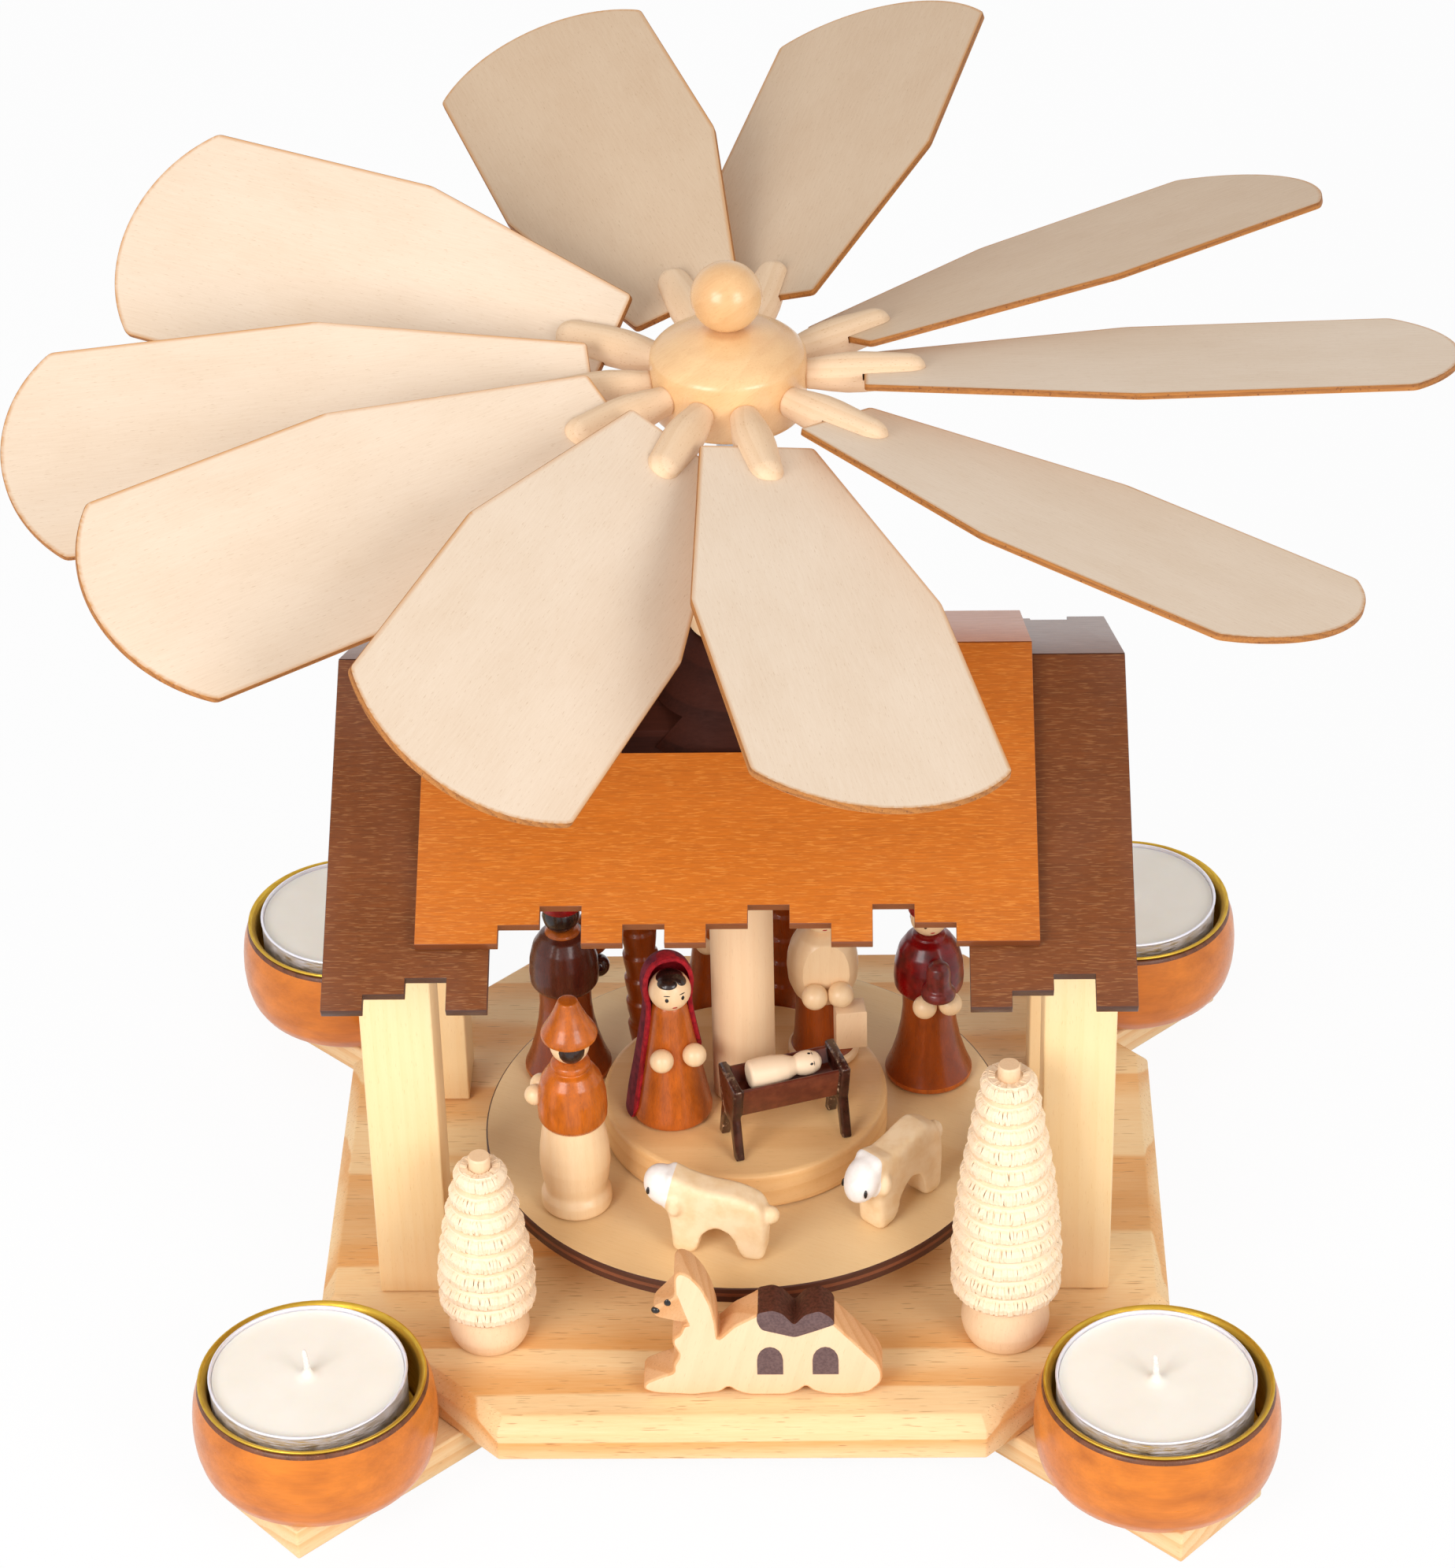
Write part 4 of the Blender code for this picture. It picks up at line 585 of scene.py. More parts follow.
# The bearing in the roof: a dark turned housing over the bridge, and the pale bush the spindle turns in
housing = {
    "floor": 135.24,
    "profile": [(2.9, 13.6), (8.6, 13.6), (9.3, 13.2), (10.1, 12.0), (11.0, 9.2), (11.6, 7.6), (13.4, 4.2),
                (16.2, -0.6), (18.0, -4.2), (19.4, -6.3), (19.6, -6.6), (2.9, -6.6), (2.9, 13.6)],
    "saddle": (42.0, 24.6, 6.9), "saddleMiddle": -3.15,
    "bush": [(2.8, 17.6), (7.9, 17.6), (8.5, 17.0), (8.5, 13.9), (2.8, 13.9), (2.8, 17.6)],
}
seat = at(0, 0, housing["floor"])
saddle = blockShape(housing["saddle"], at(0, 0, housing["saddleMiddle"]))
dome = worked(spun(housing["profile"], 64, 0.8), cutOut, saddle)
# The housing's very dark stain is partly painted shade in the roof's opening
finished("bearing_housing", dome, ["umberStain"], "frame", ["bearing_dome"], seat)
bush = spun(housing["bush"], 48, 0.3)
finished("bearing_bush_turned", bush, ["limeWood"], "frame", ["bearing_bush"], seat)
footCup = spun([(0, 1.5), (2.8, 4.3), (2.8, 5.0), (7.0, 5.0), (7.5, 4.5), (7.5, 0), (0, 0)], 32, 0.15)
finished("foot_bearing_cup", footCup, ["brassTurned"], "frame", ["lower_bearing"], at(0, 0, baseTop))
print("bearings done")

# Candle cups: a glazed bowl, a spun brass liner with a rolled lip, and a tealight
cups = {
    "seat": 7.3,
    "bowl": [(0, 6.0), (20.9, 6.0), (20.9, 19.2), (21.1, 19.55), (21.6, 19.6), (21.95, 19.25), (22.35, 18.2),
             (23.0, 16.0), (23.4, 12.5), (23.45, 9.5), (23.2, 6.4), (22.5, 3.4), (21.2, 1.1), (19.9, 0.2), (19.0, 0),
             (0, 0)],
    "rimBand": 18.8,
    "liner": [(0, 6.9), (19.9, 6.9), (20.2, 7.2), (20.2, 18.9), (20.4, 19.5), (21.0, 20.2), (21.5, 20.5), (21.8, 20.4),
              (21.9, 20.1), (21.6, 19.8), (20.8, 19.75), (20.75, 6.3), (0, 6.3)],
    "shifts": ((-0.65, -0.7), (-0.6, -0.7), (0, -0.5), (0, -0.5)),   # each tealight sits loose in its liner
    "tin": [(0, 7.7), (18.3, 7.7), (18.4, 21.8), (18.55, 22.15), (18.8, 22.2), (19.0, 22.0), (18.98, 21.7),
            (18.8, 21.4), (18.7, 8.2), (18.2, 7.3), (17.6, 7.2), (0, 7.2)],
    "wax": [(0, 23.4), (0.55, 23.3), (0.72, 22.3), (1.25, 21.5), (2.6, 21.1), (6, 21.0), (16.4, 21.0),
            (17.6, 21.15), (18.35, 21.7), (18.35, 8.2), (0, 8.2)],
    "wick": [(0, 27.3), (0.32, 27.2), (0.5, 26.4), (0.62, 24), (0.68, 21), (0, 21)],
    "wickFoot": 21, "wickLean": 9.0,
}
for corner, shift in zip(corners, cups["shifts"]):
    low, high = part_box("candle_bowl_" + corner)
    seat = at((low.x + high.x) / 2 / mm, (low.y + high.y) / 2 / mm, cups["seat"])
    bowl = banded(spun(cups["bowl"], 72, 0.7), (cups["rimBand"], 0), (99, 1))
    finished("bowl_" + corner, bowl, ["bowlOrange", "bowlRim"], "frame", ["candle_bowl_" + corner], seat)
    liner = spun(cups["liner"], 72, 0.25)
    finished("liner_" + corner, liner, ["brassSpun"], "frame", ["brass_liner_" + corner], seat)
    body, seat = f"tealight_{corner}_body", at(*shift, 0) @ seat
    finished("tin_" + corner, spun(cups["tin"], 72, 0.12), ["tinFoil"], body, ["tealight_" + corner], seat)
    finished("wax_" + corner, spun(cups["wax"], 72, 0.6), ["wax"], body, (), seat)
    wick = spun(cups["wick"], 14, 0.2)
    for vertex in wick.verts:   # the wick leans a little more towards its end
        vertex.co.x -= cups["wickLean"] * (vertex.co.z - cups["wickFoot"] * mm) ** 2
    finished("wick_" + corner, wick, ["cotton"], body, (), seat)
print("candle cups done")

# The rotor: rod, column, disc and platform
rotor = {
    "rod": [(0, 205.3), (2.3, 205.3), (2.5, 205.1), (2.5, 21.3), (0.6, 19.2), (0, 19.1)],
    "column": [(2.8, 103.3), (5.9, 103.3), (6.25, 102.9), (6.25, 38.3), (6.0, 38.1), (2.8, 38.1), (2.8, 103.3)],
    "disc": [(2.8, 29.5), (52.2, 29.5), (52.5, 29.3), (52.5, 28.35), (52.5, 27.55), (52.5, 26.2), (52.3, 26.0),
             (2.8, 26.0), (2.8, 29.5)],
    "rim": 51.5, "core": (27.6, 28.3),   # the edge shows a lighter middle layer
    "platform": [(2.8, 37.8), (27.6, 37.8), (28.35, 37.5), (28.6, 36.8), (28.6, 30.1), (28.4, 29.8), (2.8, 29.8),
                 (2.8, 37.8)],
}
finished("spindle_rod", spun(rotor["rod"], 32), ["steelRod"], "rotor", ["spindle"])
finished("column_turned", spun(rotor["column"], 56, 0.15), ["columnWood"], "rotor", ["column"])
disc = spun(rotor["disc"], 128)
low, high = rotor["core"]
for face in disc.faces:
    middle = face.calc_center_median() / mm
    if math.hypot(middle.x, middle.y) > rotor["rim"] and abs(face.normal.z) < 0.9:
        face.material_index = 2 if low < middle.z < high else 1
finished("turntable_board", disc, ["discTop", "discEdge", "discCore"], "rotor", ["turntable_disc"])
platform = spun(rotor["platform"], 96, 0.3)
finished("platform_board", platform, ["mapleTop"], "rotor", ["inner_platform"])
print("rotor done")

# The wheel: hub, ball and ten paddles. Each paddle has its azimuth, its pitch about its peg and its peg's rise
wheel = {
    "axis": 201.6,
    "hub": [(0, 9.9), (4.4, 9.9), (5.4, 9.6), (9.6, 8.3), (12.9, 6.5), (14.1, 5.2), (14.3, 4.2), (14.3, -5.4),
            (13.9, -6.3), (13.0, -6.6), (2.8, -6.6), (2.8, 4.0), (0, 4.0)],
    "ball": (6.5, 16.446),
    "peg": [(0, 36.0), (1.3, 35.8), (2.4, 35.0), (3.1, 33.4), (3.25, 31.4), (3.5, 28.0), (3.72, 24.6), (3.72, 21.6),
            (3.35, 18.4), (2.85, 15.4), (2.75, 14.0), (0, 14.0)],
    "slot": (24.4, 0.63),
    "blade": [(24.7, -10.5), (73.5, -22.1)],
    "corner": (122.1, 22.1),
    "reach": 132.4,
    "thickness": 1.2,
    "scorchWidth": 0.75,
    "shadedRear": (1, 2, 3),   # the three rear blades: a darker copy of the sheet, as painted shade
}
paddleAngles = [
    (108.8, -18.5, 3.9), (76.2, -16.8, 5.6), (35.6, -16.7, -0.4), (0.5, -13.5, 1.3), (-38.3, -13.9, -1.5),
    (-77.3, -9.8, -3.1), (-110.0, -31.0, -1.8), (-142.3, -26.8, -0.3), (187.3, -27.0, -3.0), (151.9, -36.9, -0.1),
]


def bladeShape():
    far, half = wheel["corner"]
    rise = wheel["reach"] - far
    radius = (half ** 2 + rise ** 2) / (2 * rise)
    spread = math.asin(half / radius)
    tip = [(wheel["reach"] - radius * (1 - math.cos(spread * i / 12)), radius * math.sin(spread * i / 12))
           for i in range(-12, 13)]
    outline = wheel["blade"] + tip + [(x, -y) for x, y in reversed(wheel["blade"])]
    shape = sawnShape(softened(outline, 0.9, 3, True), wheel["thickness"], 0.1, 1, 1)
    faces = [face for face in shape.faces if abs(face.normal.z) > 0.99]
    bmesh.ops.inset_region(shape, faces=faces, thickness=wheel["scorchWidth"] * mm, use_even_offset=True)
    scorch = shape.verts.layers.float.new("scorch")
    for vertex in shape.verts:   # the beam's scorch fades out over the inset strip
        inside = all(abs(face.normal.z) > 0.99 for face in vertex.link_faces)
        vertex[scorch] = 0.0 if inside else luck.uniform(0.45, 1.0)
    return shape


def pegShape():
    peg = spun(wheel["peg"], 28, 0.6)
    bmesh.ops.rotate(peg, cent=(0, 0, 0), matrix=Matrix.Rotation(math.pi / 2, 3, "Y"), verts=peg.verts)
    start, half = wheel["slot"]
    return worked(peg, cutOut, blockShape((20, 20, half * 2), at(start + 10, 0, 0)))


centre = at(0, 0, wheel["axis"])
finished("hub_turned", spun(wheel["hub"], 96, 0.9), ["mapleHub"], "wheel", ["hub"], centre)
radius, height = wheel["ball"]
ball = ballShape(radius, (0, 0, height), around=56)
finished("ball_turned", ball, ["mapleHub"], "wheel", ["finial_ball"], centre)
for number, (azimuth, pitch, rise) in enumerate(paddleAngles, 1):
    turn = Euler([math.radians(angle) for angle in (pitch, -rise, azimuth)]).to_matrix().to_4x4()
    body = f"paddle_{number}_body"
    # the rear blades take the darker copy of the sheet, as painted shade
    sheet = "paddleFaceDeep" if number in wheel["shadedRear"] else "paddleFace"
    finished(f"blade_{number}", bladeShape(), [sheet, "paddleEdge"], body,
             [f"paddle_{number}"], centre @ turn, own=True)
    finished(f"peg_{number}", pegShape(), ["pegWood"], body, (), centre @ turn, own=True)
print("wheel done")

# Trees: rings of curled shavings over a turned foot
trees = {
    "tree_left": {"place": (-49.41, -50.5), "radius": 9.75, "height": 44.7, "rings": 8, "foot": 8.5,
                  "footRadius": 7.5, "tip": 2.5},
    "tree_right": {"place": (51.0, -49.98), "radius": 11.0, "height": 65.5, "rings": 12, "foot": 11.3,
                   "footRadius": 8.2, "tip": 2.5},
}
treeFoot = [(0.6, 1.2), (0.8, 1.0), (0.95, 0.75), (1.03, 0.5), (1.05, 0.35), (1.0, 0.17), (0.93, 0.05), (0.89, 0)]
curlLook = {
    "width": 0.56, "thickness": 0.3, "bulge": 2.0, "gap": 0.9,
    "lean": 7, "drift": 0.2, "lift": 0.18, "shrink": 0.975,   # how far single curls stray
    "narrowest": 0.43, "lowest": 0.98,   # shares of the tree's radius at the top, and at the last ring
}


def addCurl(shape, radius, place):   # one shaving: an arched strip, hooked under at its end
    bulge, thickness = curlLook["bulge"], curlLook["thickness"]
    angles = [math.radians(angle) for angle in (115, 80, 45, 10, -25, -60, -92)]
    middle = radius - bulge
    outside = [(middle + bulge * math.cos(a), bulge * math.sin(a)) for a in angles]
    hollow = bulge - thickness
    inside = [(middle + hollow * math.cos(a), hollow * math.sin(a)) for a in reversed(angles)]
    flank = -curlLook["width"] / 2 * mm
    strip = [shape.verts.new(place @ Vector((r * mm, flank, z * mm))) for r, z in outside + inside]
    raised = bmesh.ops.extrude_face_region(shape, geom=[shape.faces.new(strip)])["geom"]
    lifted = [item for item in raised if isinstance(item, bmesh.types.BMVert)]
    bmesh.ops.translate(shape, verts=lifted, vec=place.to_3x3() @ Vector((0, curlLook["width"] * mm, 0)))


for name, look in trees.items():
    seat = at(*look["place"], baseTop)
    height, crown = look["height"], look["height"] - look["tip"]
    pitch = (crown - look["foot"]) / look["rings"]
    core = [(0, height - 0.1), (1.9, height - 0.1), (2.15, height - 0.5), (2.1, crown - 0.6)]
    curls = bmesh.new()
    for i in range(look["rings"]):
        share = (i + 1) / look["rings"]
        spread = curlLook["narrowest"] + (1 - curlLook["narrowest"]) * math.sin(share * math.pi / 2)
        spread *= look["radius"] * (curlLook["lowest"] if i == look["rings"] - 1 else 1.0)
        level = crown - pitch * (i + 0.5)
        half = pitch / 2 - 0.1
        core += [(spread - 1.3, level + half), (spread - 0.5, level), (spread - 1.3, level - half)]
        count = int(math.tau * spread / (curlLook["width"] * curlLook["gap"]))
        for j in range(count):
            lean = Matrix.Rotation(math.radians(luck.gauss(0, curlLook["lean"])), 4, "X")
            angle = math.degrees(math.tau * (j + luck.uniform(-curlLook["drift"], curlLook["drift"])) / count)
            place = at(0, 0, level + luck.uniform(-curlLook["lift"], curlLook["lift"]), angle) @ lean
            addCurl(curls, spread * luck.uniform(curlLook["shrink"], 1.0), place)
    core += [(4.2, look["foot"] + 0.4), (0, look["foot"] + 0.4)]
    bmesh.ops.recalc_face_normals(curls, faces=curls.faces)
    stem = banded(spun(core, 40), (crown + 0.4, 0), (99, 1))
    finished(f"{name}_core", stem, ["shaving", "treeFoot"], "frame", [name], seat)
    finished(f"{name}_curls", curls, ["shaving"], "frame", (), seat, 20.0)
    foot = [(r * look["footRadius"], z * look["foot"]) for r, z in treeFoot]
    foot = spun([(0, foot[0][1])] + foot + [(0, 0)], 48, 0.5)
    finished(f"{name}_foot", foot, ["treeFoot"], "frame", (), seat)
print("trees done")

# Camel: a sawn board with a painted saddle cloth over both humps and two painted patches
camel = {
    "middle": (4.0, -64.95, baseTop),
    "length": 46.1, "height": 30.7, "thickness": 7.5,
    "outline": [
        (0.003, 0.05), (0.01, 0.105), (0.08, 0.16), (0.133, 0.19), (0.13, 0.245), (0.153, 0.307), (0.156, 0.344),
        (0.13, 0.42), (0.133, 0.47), (0.163, 0.50), (0.176, 0.563), (0.2, 0.598), (0.153, 0.592), (0.068, 0.592),
        (0.053, 0.62), (0.06, 0.685), (0.118, 0.758), (0.147, 0.80), (0.145, 0.95), (0.155, 0.985), (0.175, 1.0),
        (0.209, 0.976), (0.24, 0.92), (0.268, 0.85), (0.295, 0.74), (0.313, 0.61), (0.32, 0.458), (0.387, 0.569),
        (0.467, 0.643), (0.49, 0.672), (0.547, 0.69),
        (0.587, 0.661), (0.636, 0.569), (0.68, 0.651), (0.74, 0.683), (0.787, 0.63), (0.80, 0.585), (0.893, 0.418),
        (0.98, 0.26), (1.0, 0.18), (0.995, 0.10), (0.947, 0.02), (0.867, 0), (0.773, 0), (0.707, 0.034),
        (0.68, 0.08), (0.653, 0.034), (0.6, 0), (0.44, 0), (0.387, 0.034), (0.357, 0.074), (0.327, 0.026),
        (0.213, 0), (0.053, 0.016),
    ],
    "cheek": {"from": (0.204, 0.585), "deep": 19.0, "lean": 16.0},   # the head's side is cut back towards the snout
    "saddle": [
        (0.483, 0.672), (0.547, 0.697), (0.588, 0.669), (0.636, 0.577), (0.68, 0.658), (0.74, 0.69), (0.788, 0.638),
        (0.804, 0.588), (0.793, 0.572), (0.715, 0.522), (0.637, 0.476), (0.57, 0.506), (0.50, 0.537), (0.482, 0.60),
    ],
    "patches": (0.5335, 0.763),
    "patch": (0.0535, 0.175, 0.29, 0.397),
    "eye": (0.117, 0.738), "eyeSize": (0.7, (1, 1.15, 0.5)),
    "nose": (0.066, 0.648), "noseSize": (0.95, (0.95, 0.8, 0.7)),
}


def camelPoints(shares):
    return [((x - 0.5) * camel["length"], z * camel["height"]) for x, z in shares]


lying = at(*camel["middle"]) @ Matrix.Rotation(math.pi / 2, 4, "X")
face = camel["thickness"] / 2
(edgeX, edgeZ), = camelPoints([camel["cheek"]["from"]])
slant, lean = [math.radians(camel["cheek"][key]) for key in ("deep", "lean")]
cheek = Matrix.Translation(Vector((edgeX, edgeZ, face)) * mm) @ Matrix.Rotation(lean, 4, "Z")
cheek = cheek @ Matrix.Rotation(-slant, 4, "Y") @ at(-10, 3.5, 10)
knife = blockShape((20, 8, 20), cheek, Matrix.Diagonal((1, 1, -1, 1)) @ cheek)   # front and back alike
board = sawnShape(softened(camelPoints(camel["outline"]), 0.9, 3, True), camel["thickness"], 0.45, 3, 1)
board = worked(board, cutOut, knife)
for side in board.faces:   # the faces are planed, the sawn edges and the cheek are rougher
    side.material_index = 0 if abs(side.normal.z) > 0.97 else 1
finished("camel_board", board, ["camelFace", "camelCut"], "frame", ["camel"], lying)
cloth = sawnShape(softened(camelPoints(camel["saddle"]), 0.7, 3, True), camel["thickness"] + 0.24, 0.12, 2, 1)
finished("camel_saddle", cloth, ["patchPaint", "saddlePaint"], "frame", (), lying)
half, low, shoulder, high = camel["patch"]
for side, share in zip(("front", "back"), camel["patches"]):
    arch = [(share - half, low), (share + half, low), (share + half, shoulder)]
    for a in (0.4, 0.8, 1.2, 1.57, 1.94, 2.34, 2.74):
        arch.append((share + half * math.cos(a), shoulder + (high - shoulder) * math.sin(a)))
    patch = sawnShape(camelPoints(arch + [(share - half, shoulder)]), 0.12)
    finished(f"camel_patch_{side}", patch, ["patchPaint"], "frame", (), lying @ at(0, 0, face + 0.04))
marks = []
for spot, out in (("eye", 0.1), ("nose", 0.0)):   # they lie on the cheek that the knife has left
    (x, z), = camelPoints([camel[spot]])
    depth = (edgeX - (z - edgeZ) * math.tan(lean) - x) * math.tan(slant)
    radius, stretch = camel[spot + "Size"]
    marks.append(ballShape(radius, (x, z, face - depth + out), stretch, 20))
finished("camel_eye_and_nose", joined(*marks), ["blackDot"], "frame", (), lying)
print("camel done")


def dab(centre, radius, side, up, wide, tall, proud=0.1):   # a spot of paint that lies on a ball
    shape = bmesh.new()
    bmesh.ops.create_uvsphere(shape, u_segments=20, v_segments=10, radius=1.0)
    turn = Matrix.Rotation(math.radians(side), 3, "Z") @ Matrix.Rotation(math.radians(-up), 3, "X")
    for vertex in shape.verts:
        a, b = vertex.co.x * wide / radius, vertex.co.z * tall / radius
        onBall = Vector((math.sin(a) * math.cos(b), -math.cos(a) * math.cos(b), math.sin(b)))
        vertex.co = (turn @ onBall * (radius - vertex.co.y * proud) + Vector(centre)) * mm
    return shape


def faced(centre, radius, eyes=(24, 6), mouth=-24, size=1.0):   # a plain calm doll's face: two dots and a mouth
    side, up = eyes
    spots = [(-side, up, 0.34, 0.44), (side, up, 0.34, 0.44), (-side, up + 13, 0.62, 0.1), (side, up + 13, 0.62, 0.1)]
    black = joined(*[dab(centre, radius, a, b, wide * size, tall * size) for a, b, wide, tall in spots])
    return joined(black, dab(centre, radius, 0, mouth, 0.5 * size, 0.22 * size), finish=1)


def headAndFace(name, seat, look, skin="limeWood"):
    radius, centre = look["head"]
    hair = [dab(centre, radius, *spot) for spot in look["hair"]]
    head = joined(ballShape(radius, centre, around=look["around"]), *hair, finish=1)
    paint = [skin, "hairPaint"] if hair else [skin]
    finished(name + "_head", head, paint, "rotor", (), seat)
    face = faced(centre, radius, *look["face"])
    finished(name + "_face", face, ["blackDot", "redDot"], "rotor", (), seat)


# Figures that stand on the disc and the platform: each one's place and the way it faces
figures = {
    "hooded_figure": (-14.4, -7.0, platformTop, 17),
    "lantern_figure": (15.8, 12.0, platformTop, 8),
    "crib": (8.3, -15.1, platformTop, 18.9),
    "shepherd": (-33.0, -25.5, discTop, -105),
    "king_left": (-36.6, 18.0, discTop, 145),
    "king_right": (37.2, 16.0, discTop, 12),
    "king_rear": (-6.0, 38.0, discTop, 5),
    "sheep_left": (-5.6, -40.1, discTop, -101),
    "sheep_right": (30.0, -27.8, discTop, -42),
    "palm_left": (-20.7, 26.1, discTop, 0),
    "palm_right": (6.9, 32.3, discTop, 0),
}
seats = {name: at(*place) for name, place in figures.items()}


def handBalls(name, look, skin="limeWood"):
    spread, forward, height, radius = look["hands"]
    hands = joined(*[ballShape(radius, (side, -forward, height), around=28) for side in (-spread, spread)])
    finished(name + "_hands", hands, [skin], "rotor", (), seats[name])


# Hooded figure: a turned cone in orange glaze, under a red hood and cape
hooded = {
    "body": [(0, 28.2), (2.6, 27.9), (3.6, 26.2), (4.05, 23.4), (4.6, 20.0), (5.5, 15.2), (6.6, 9.2), (7.7, 3.4),
             (8.1, 1.3), (7.9, 0.4), (7.4, 0.05), (0, 0)],
    "head": (4.2, (0, -1.0, 30.4)), "around": 40, "face": ((23, 4), -26, 1.1),
    "hair": ((-26, 52, 2.1, 1.3, 0.22), (48, 50, 1.4, 1.2, 0.22), (0, 88, 3.0, 2.6, 0.22)),
    "cape": [(0, 37.4), (2.3, 37.0), (4.0, 35.6), (5.05, 33.4), (5.4, 31.2), (5.2, 29.0), (4.9, 27.0), (5.2, 23.6),
             (6.1, 18.0), (7.2, 11.5), (8.4, 5.0), (9.0, 0.5)],
    "capeBack": 1.2, "capeThick": 0.85, "rim": 0.7, "hands": (3.35, 5.9, 17.0, 2.4),
    "openings": (((0, -0.6, 30), (0, -1, 0.06)), ((5.6, -1.0, 16.5), (0.5, -0.75, -0.45))),
}
seat = seats["hooded_figure"]
body = spun(hooded["body"], 64, 0.8)
finished("hooded_body", body, ["glazeOrange"], "rotor", ["hooded_figure"], seat)
headAndFace("hooded", seat, hooded)
cape = spun(hooded["cape"], 64, 0.8)
bmesh.ops.translate(cape, verts=cape.verts, vec=(0, hooded["capeBack"] * mm, 0))
for point, outward in hooded["openings"]:
    sliced(cape, point, outward)
cape = worked(cape, [("SOLIDIFY", {"thickness": hooded["capeThick"] * mm, "offset": -1.0}),
                     ("BEVEL", {"width": 0.3 * mm, "segments": 3, "limit_method": "ANGLE"})])
(edge, forward), axis = hooded["openings"][0], Vector((0, hooded["capeBack"] * mm, 0))
for side in cape.faces:   # the outside behind the rim gets a darker red, as painted shade; the rim and the inside keep the plain red
    middle = side.calc_center_median()
    outward = side.normal.dot(((middle - axis) * Vector((1, 1, 0))).normalized())
    behind = (Vector(edge) * mm - middle).dot(Vector(forward))
    side.material_index = 1 if outward > 0.3 and behind > hooded["rim"] * mm else 0
finished("hooded_cape", cape, ["redHood", "redCape"], "rotor", (), seat)
handBalls("hooded_figure", hooded)

# Figure with a lantern: brown skirt, natural coat with a flat front, a wooden block for the lantern
lantern = {
    "body": [(0, 31.7), (1.9, 31.6), (2.3, 31.0), (3.4, 30.6), (5.0, 29.6), (6.3, 27.4), (7.0, 24.6), (7.2, 22.0),
             (6.9, 18.6), (5.9, 15.9), (5.5, 15.5), (5.4, 15.2), (5.6, 10), (5.9, 5.0), (6.3, 2.6), (6.4, 2.3),
             (6.9, 2.1), (7.2, 1.6), (7.2, 0.5), (6.9, 0), (0, 0)],
    "cap": [(0, 42.0), (2.0, 41.7), (3.5, 40.5), (4.1, 38.6), (4.1, 37.2), (3.7, 36.6), (0, 36.6)],
    "facet": (-5.3, 24),
    "head": (3.85, (0, -0.8, 34.6)), "around": 36, "face": (), "hair": (),
    "block": (4.5, -6.8, 11.2), "blockSize": (6.2, 5.0, 9.0),
    "bands": ((2.25, 0), (15.35, 1), (99, 0)), "hands": (2.6, 7.3, 19.0, 2.65),
}
seat = seats["lantern_figure"]
body = spun(lantern["body"], 64, 0.5)
front, height = lantern["facet"]
flat = sliced(body, (0, front, height), (0, -1, 0.06))
bmesh.ops.holes_fill(body, edges=[item for item in flat if isinstance(item, bmesh.types.BMEdge)])
banded(body, *lantern["bands"])
finished("lantern_body", body, ["limeWood", "glazeBrown"], "rotor", ["lantern_figure"], seat)
headAndFace("lantern", seat, lantern)
finished("lantern_cap", spun(lantern["cap"], 48, 0.5), ["limeWood"], "rotor", (), seat)
wide, deep, height = lantern["blockSize"]
block = sawnShape([(x * wide, y * deep) for x, y in ((-0.5, -0.5), (0.5, -0.5), (0.5, 0.5), (-0.5, 0.5))], height, 0.3)
finished("lantern_block", block, ["camelFace"], "rotor", (), seat @ at(*lantern["block"]))
handBalls("lantern_figure", lantern)

# Shepherd: natural skirt, brown glazed cape, dark hair and a pointed hat, turned to the left
shepherd = {
    "body": [(0, 36.0), (2.8, 35.6), (3.85, 34.8), (3.9, 33.9), (3.6, 33.5), (4.6, 32.9), (5.9, 30.8), (6.7, 27.4),
             (6.85, 24.0), (6.75, 21.8), (6.2, 20.9), (5.9, 20.7), (6.2, 18.8), (6.8, 14.5), (7.0, 10.6), (6.6, 7.0),
             (6.1, 5.0), (6.1, 4.2), (6.6, 3.5), (7.0, 2.8), (7.0, 0.7), (6.7, 0.05), (0, 0)],
    "head": (3.9, (0, 0, 38.9)), "around": 36, "face": ((22, 12), -14, 0.95),
    "hair": ((116, 4, 2.8, 3.5, 0.3),),
    "bands": ((20.8, 0), (33.6, 1), (99, 2)), "hands": (1.8, 7.0, 26.4, 2.1),
    "hat": [(0, 49.5), (1.9, 49.4), (2.2, 48.6), (2.9, 46.9), (4.0, 44.6), (5.2, 42.6), (5.55, 41.8), (5.45, 41.0),
            (4.9, 40.5), (3.6, 40.3), (0, 40.3)],
}
seat = seats["shepherd"]
body = banded(spun(shepherd["body"], 64, 0.4), *shepherd["bands"])
cloth = ["limeWood", "glazeAmber", "glazeOrange"]
finished("shepherd_body", body, cloth, "rotor", ["shepherd"], seat)
headAndFace("shepherd", seat, shepherd)
finished("shepherd_hat", spun(shepherd["hat"], 56, 0.3), ["glazeAmber"], "rotor", (), seat)
handBalls("shepherd", shepherd)

